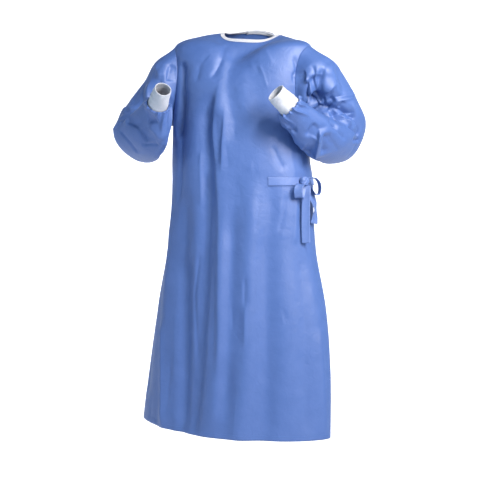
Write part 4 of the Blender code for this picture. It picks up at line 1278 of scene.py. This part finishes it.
BELTS = {}
BELT_TURNED = {}
for name, node, start, end in (
    ("front_belt", "tie_front", BELT_FRONT_START, BELT_FRONT_END),
    ("back_belt", "tie_back", BELT_BACK_START, BELT_BACK_END),
):
    grid = belt_grid(start, end)
    BELTS[name] = facing_out(grid, grid * (1.0, 1.0, 0.0))
    BELT_TURNED[name] = BELTS[name] is not grid
    piece = piece_from_grid(name, BELTS[name], BLUE_TIE_PAINTED_LIGHTER, wall=TIE_CLOTH, offset=1.0)
    dress(piece, [node])
for name, node, stations in (
    ("front_loop", "bow_loop_front", LOOP_FRONT),
    ("front_end", "bow_end_front", END_FRONT),
    ("back_loop", "bow_loop_back", LOOP_BACK),
    ("back_end", "bow_end_back", END_BACK),
):
    piece = piece_from_grid(name, bow_grid(stations), BLUE_TIE_PAINTED_LIGHTER, wall=TIE_CLOTH, offset=0.0)
    dress(piece, [node])


def knot_grid(rows=40, columns=56):
    """Rounded knot of crossed wraps: a soft lump with slanted grooves between the wraps."""
    level = level_of_height(BELT_HEIGHT)
    middle = plain_body_point(level, KNOT_ANGLE, KNOT_OUT)
    outward = unit(middle - plain_body_point(level, KNOT_ANGLE))
    outward = unit(outward * (1.0, 1.0, 0.0))
    side = np.cross((0.0, 0.0, 1.0), outward)
    up = np.array((0.0, 0.0, 1.0))
    polar = np.linspace(KNOT_POLE, math.pi - KNOT_POLE, rows)[:, None]
    turn = 2.0 * math.pi * np.arange(columns)[None, :] / columns
    x, y = np.sin(polar) * np.cos(turn), np.sin(polar) * np.sin(turn)
    z = np.cos(polar) * np.ones_like(turn)
    wide, deep, tall = (
        (np.sign(way) * np.abs(way) ** KNOT_SQUARENESS * size / 2.0)[..., None]
        for way, size in zip((x, y, z), KNOT_SIZE)
    )
    groove = sum(np.exp(-(((x + slant * z + place) / width) ** 2)) for slant, place, width in KNOT_GROOVES)
    waves = np.cos(KNOT_SWELL_WAVES_UP * z + KNOT_SWELL_WAVES_ACROSS * x)
    swell = 1.0 - KNOT_GROOVE_DEPTH * groove + KNOT_SWELL * waves
    points = wide * side - deep * outward + tall * up
    return middle + points * swell[..., None]


grid = knot_grid()
grid = facing_out(grid, grid - grid.mean(axis=(0, 1)))
piece = piece_from_grid("belt_knot", grid, BLUE_TIE_PAINTED_LIGHTER, around=True)
mesh_tool = bmesh.new()
mesh_tool.from_mesh(piece.data)
bmesh.ops.holes_fill(mesh_tool, edges=[edge for edge in mesh_tool.edges if edge.is_boundary])
mesh_tool.to_mesh(piece.data)
mesh_tool.free()
dress(piece, ["bow_knot"])

# Sewing: rows of stitches that sit half sunk in the cloth
STITCH_UP = 0.0001
HEM_TURNED_UP = 0.015
EDGE_TURNED_IN = 0.012
TIE_STITCH_IN = 0.003
TIE_BAR_IN = 8.0 * TIE_STITCH_IN
CUFF_STITCH_IN = 0.0016
NECK_STITCH_IN = 0.0018
# Spacing and length of the finer stitches
CUFF_STITCH_SIZE = (0.0024, 0.0018)
NECK_STITCH_SIZE = (0.0026, 0.0020)


def raised(grid, out, around=False):
    """Grid moved out along its normals."""
    return grid + grid_normals(grid, around) * out


def line_at(rows, distance):
    """Line that lies a distance in from the first row of a grid, along the cloth."""
    lengths = lengths_down(rows)
    line = []
    for column in range(rows.shape[1]):
        line.append([np.interp(distance, lengths[:, column], rows[:, column, axis]) for axis in range(3)])
    return np.array(line)


PANEL_STITCHES = {}
for node, grid in PANELS.items():
    hem_line = line_at(raised(grid, STITCH_UP), HEM_TURNED_UP)
    PANEL_STITCHES[node] = [stitch_line("hem_stitches_" + node, hem_line, THREAD_BLUE)]
for node in ("back_outer", "back_inner"):
    sideways = raised(PANELS[node], STITCH_UP).transpose(1, 0, 2)
    first_is_free = abs(PANELS[node][0, 0, 0]) < abs(PANELS[node][0, -1, 0])
    edge_line = line_at(sideways if first_is_free else sideways[::-1], EDGE_TURNED_IN)
    PANEL_STITCHES[node].append(stitch_line("edge_stitches_" + node, edge_line, THREAD_BLUE))
for side in ("right", "left"):
    rows = raised(SLEEVES[side], STITCH_UP, True)[::-1]
    seam_line = line_at(np.concatenate([rows, rows[:, :1]], axis=1), CUFF_STITCH_IN)
    seam = stitch_line(side + "_cuff_seam_stitches", seam_line, THREAD_BLUE, *CUFF_STITCH_SIZE)
neck_line = line_at(raised(NECK_STRIP, BINDING_CLOTH + STITCH_UP), NECK_STITCH_IN)
NECK_STITCHES = [stitch_line("neck_binding_stitches", neck_line, THREAD_WHITE, *NECK_STITCH_SIZE)]
BELT_STITCHES = {}
for name, grid in BELTS.items():
    top = raised(grid, TIE_CLOTH + STITCH_UP)
    across = top.transpose(1, 0, 2)
    from_sewn_end = across if (name == "front_belt") != BELT_TURNED[name] else across[::-1]
    BELT_STITCHES[name] = [
        stitch_line(f"{name}_{row}_stitches", line_at(start, inward), THREAD_BLUE)
        for row, start, inward in (
            ("lower", top, TIE_STITCH_IN),
            ("upper", top[::-1], TIE_STITCH_IN),
            ("end", from_sewn_end, TIE_STITCH_IN),
            ("bar", from_sewn_end, TIE_BAR_IN),
        )
    ]

# Length of each tie strip as cut before it was sewn, with the pieces that go with it; the loop only works out
# which strips rest on the front panel and keeps nothing
for piece_name, length, extra in (
    ("front_belt", 0.107, BELT_STITCHES["front_belt"]),
    ("back_belt", 0.279, BELT_STITCHES["back_belt"]),
    ("front_loop", 0.110, [bpy.data.objects["belt_knot"]]),
    ("front_end", 0.171, []),
    ("back_loop", 0.119, []),
    ("back_end", 0.120, []),
):
    rests = ["front_panel"] if piece_name in ("front_belt", "back_belt") else []

# Camera at the photograph's angle
CAMERA_AZIMUTH = math.radians(18.0)
CAMERA_DISTANCE = 3.3
CAMERA_HEIGHT = -0.416
CAMERA_SIDE = -0.037
CAMERA_PITCH = math.radians(3.78)
CAMERA_LENS = 79.5
CAMERA_SENSOR = 36.0
camera_data = bpy.data.cameras.new("camera")
camera_data.lens = CAMERA_LENS
camera_data.sensor_width = CAMERA_SENSOR
camera = in_scene("camera", camera_data)
sine, cosine = math.sin(CAMERA_AZIMUTH), math.cos(CAMERA_AZIMUTH)
camera.location = (
    CAMERA_DISTANCE * sine + CAMERA_SIDE * cosine,
    -CAMERA_DISTANCE * cosine + CAMERA_SIDE * sine,
    CAMERA_HEIGHT,
)
camera.rotation_euler = (math.pi / 2.0 - CAMERA_PITCH, 0.0, CAMERA_AZIMUTH)
bpy.context.scene.camera = camera
bpy.context.scene.view_settings.view_transform = "Standard"


def area_light(name, place, target, size, power, colour):
    """Rectangular light at a place, turned to a target."""
    data = bpy.data.lights.new(name, "AREA")
    data.shape = "RECTANGLE"
    data.size, data.size_y = size
    data.energy = power
    data.color = colour
    lamp = in_scene(name, data)
    lamp.location = place
    lamp.rotation_euler = (Vector(target) - Vector(place)).to_track_quat("-Z", "Y").to_euler()


LIGHT_COLUMNS = ("name", "place", "target", "size", "power", "colour")
LIGHTS = (
    ("softbox", (1.85, -1.40, 0.62), (0.0, -0.1, -0.30), (0.6, 1.1), 76.0, (1.0, 0.94, 0.92)),
    ("key", (1.55, -1.75, 1.75), (0.05, 0.0, -0.35), (0.45, 0.45), 50.0, (1.0, 1.0, 1.0)),
    ("fill", (-1.9, -3.0, 0.3), (0.0, 0.0, -0.6), (2.0, 2.0), 15.0, (0.62, 0.86, 1.0)),
)
for row in LIGHTS:
    area_light(**dict(zip(LIGHT_COLUMNS, row)))

# Studio floor that curves up into a wall all round, glowing behind the gown: painted light, an emission that
# stands in for lamps on the wall
FLOOR_HEIGHT = -1.95
FLOOR_RADIUS = 5.0
WALL_CURVE = 2.0
WALL_HEIGHT = 5.0
WALL_CURVE_STEPS = 12
WALL_COLUMNS = 96
# The glow: dark and bright colour, how far to the side it fades, and how far behind it begins
GLOW_DARK, GLOW_BRIGHT = (0.11, 0.17, 0.25), (0.94, 0.94, 0.94)
GLOW_FADE_SIDE = (3.2, 2.4)
GLOW_BEGINS = (-0.2, 1.2)
profile = [(0.001, FLOOR_HEIGHT), (FLOOR_RADIUS, FLOOR_HEIGHT)]
for step in range(1, WALL_CURVE_STEPS + 1):
    bend = math.pi / 2.0 * step / WALL_CURVE_STEPS
    out, rise = WALL_CURVE * math.sin(bend), WALL_CURVE * (1.0 - math.cos(bend))
    profile.append((FLOOR_RADIUS + out, FLOOR_HEIGHT + rise))
profile.append((FLOOR_RADIUS + WALL_CURVE, FLOOR_HEIGHT + WALL_HEIGHT))
turns = 2.0 * math.pi * np.arange(WALL_COLUMNS) / WALL_COLUMNS
bowl = np.array([[(r * math.cos(turn), r * math.sin(turn), z) for turn in turns] for r, z in profile])
stage_material, stage_tree, stage_shader = new_material("pale_studio")
split = stage_tree.nodes.new("ShaderNodeSeparateXYZ")
place = add_node(stage_tree, "ShaderNodeTexCoord", {}, {}, 3)
stage_tree.links.new(place.socket, split.inputs[0])
stage_x, stage_y = Shade(stage_tree, split.outputs[0]), Shade(stage_tree, split.outputs[1])
sideways = stage_x * cosine + stage_y * sine
behind = stage_y * cosine - stage_x * sine
off_middle = add_node(stage_tree, "ShaderNodeMath", {"operation": "ABSOLUTE"}, {0: sideways})
beside, beyond = (
    add_node(stage_tree, "ShaderNodeMapRange", {}, {0: value, 1: low, 2: high, 3: 0.0, 4: 1.0})
    for value, (low, high) in ((off_middle, GLOW_FADE_SIDE), (behind, GLOW_BEGINS))
)
glow = mix_colours(stage_tree, beside * beyond, GLOW_DARK, GLOW_BRIGHT)
set_shader(stage_tree, stage_shader, {"Base Color": (0.86, 0.87, 0.89, 1.0), "Roughness": 0.9})
set_shader(stage_tree, stage_shader, {"Emission Color": glow, "Emission Strength": 1.0})
stage = piece_from_grid("studio_floor", bowl[:, ::-1], stage_material, around=True)
world = bpy.data.worlds.new("studio")
world.use_nodes = True
background = world.node_tree.nodes["Background"]
background.inputs["Color"].default_value = (0.75, 0.88, 1.0, 1.0)
background.inputs["Strength"].default_value = 0.05
bpy.context.scene.world = world
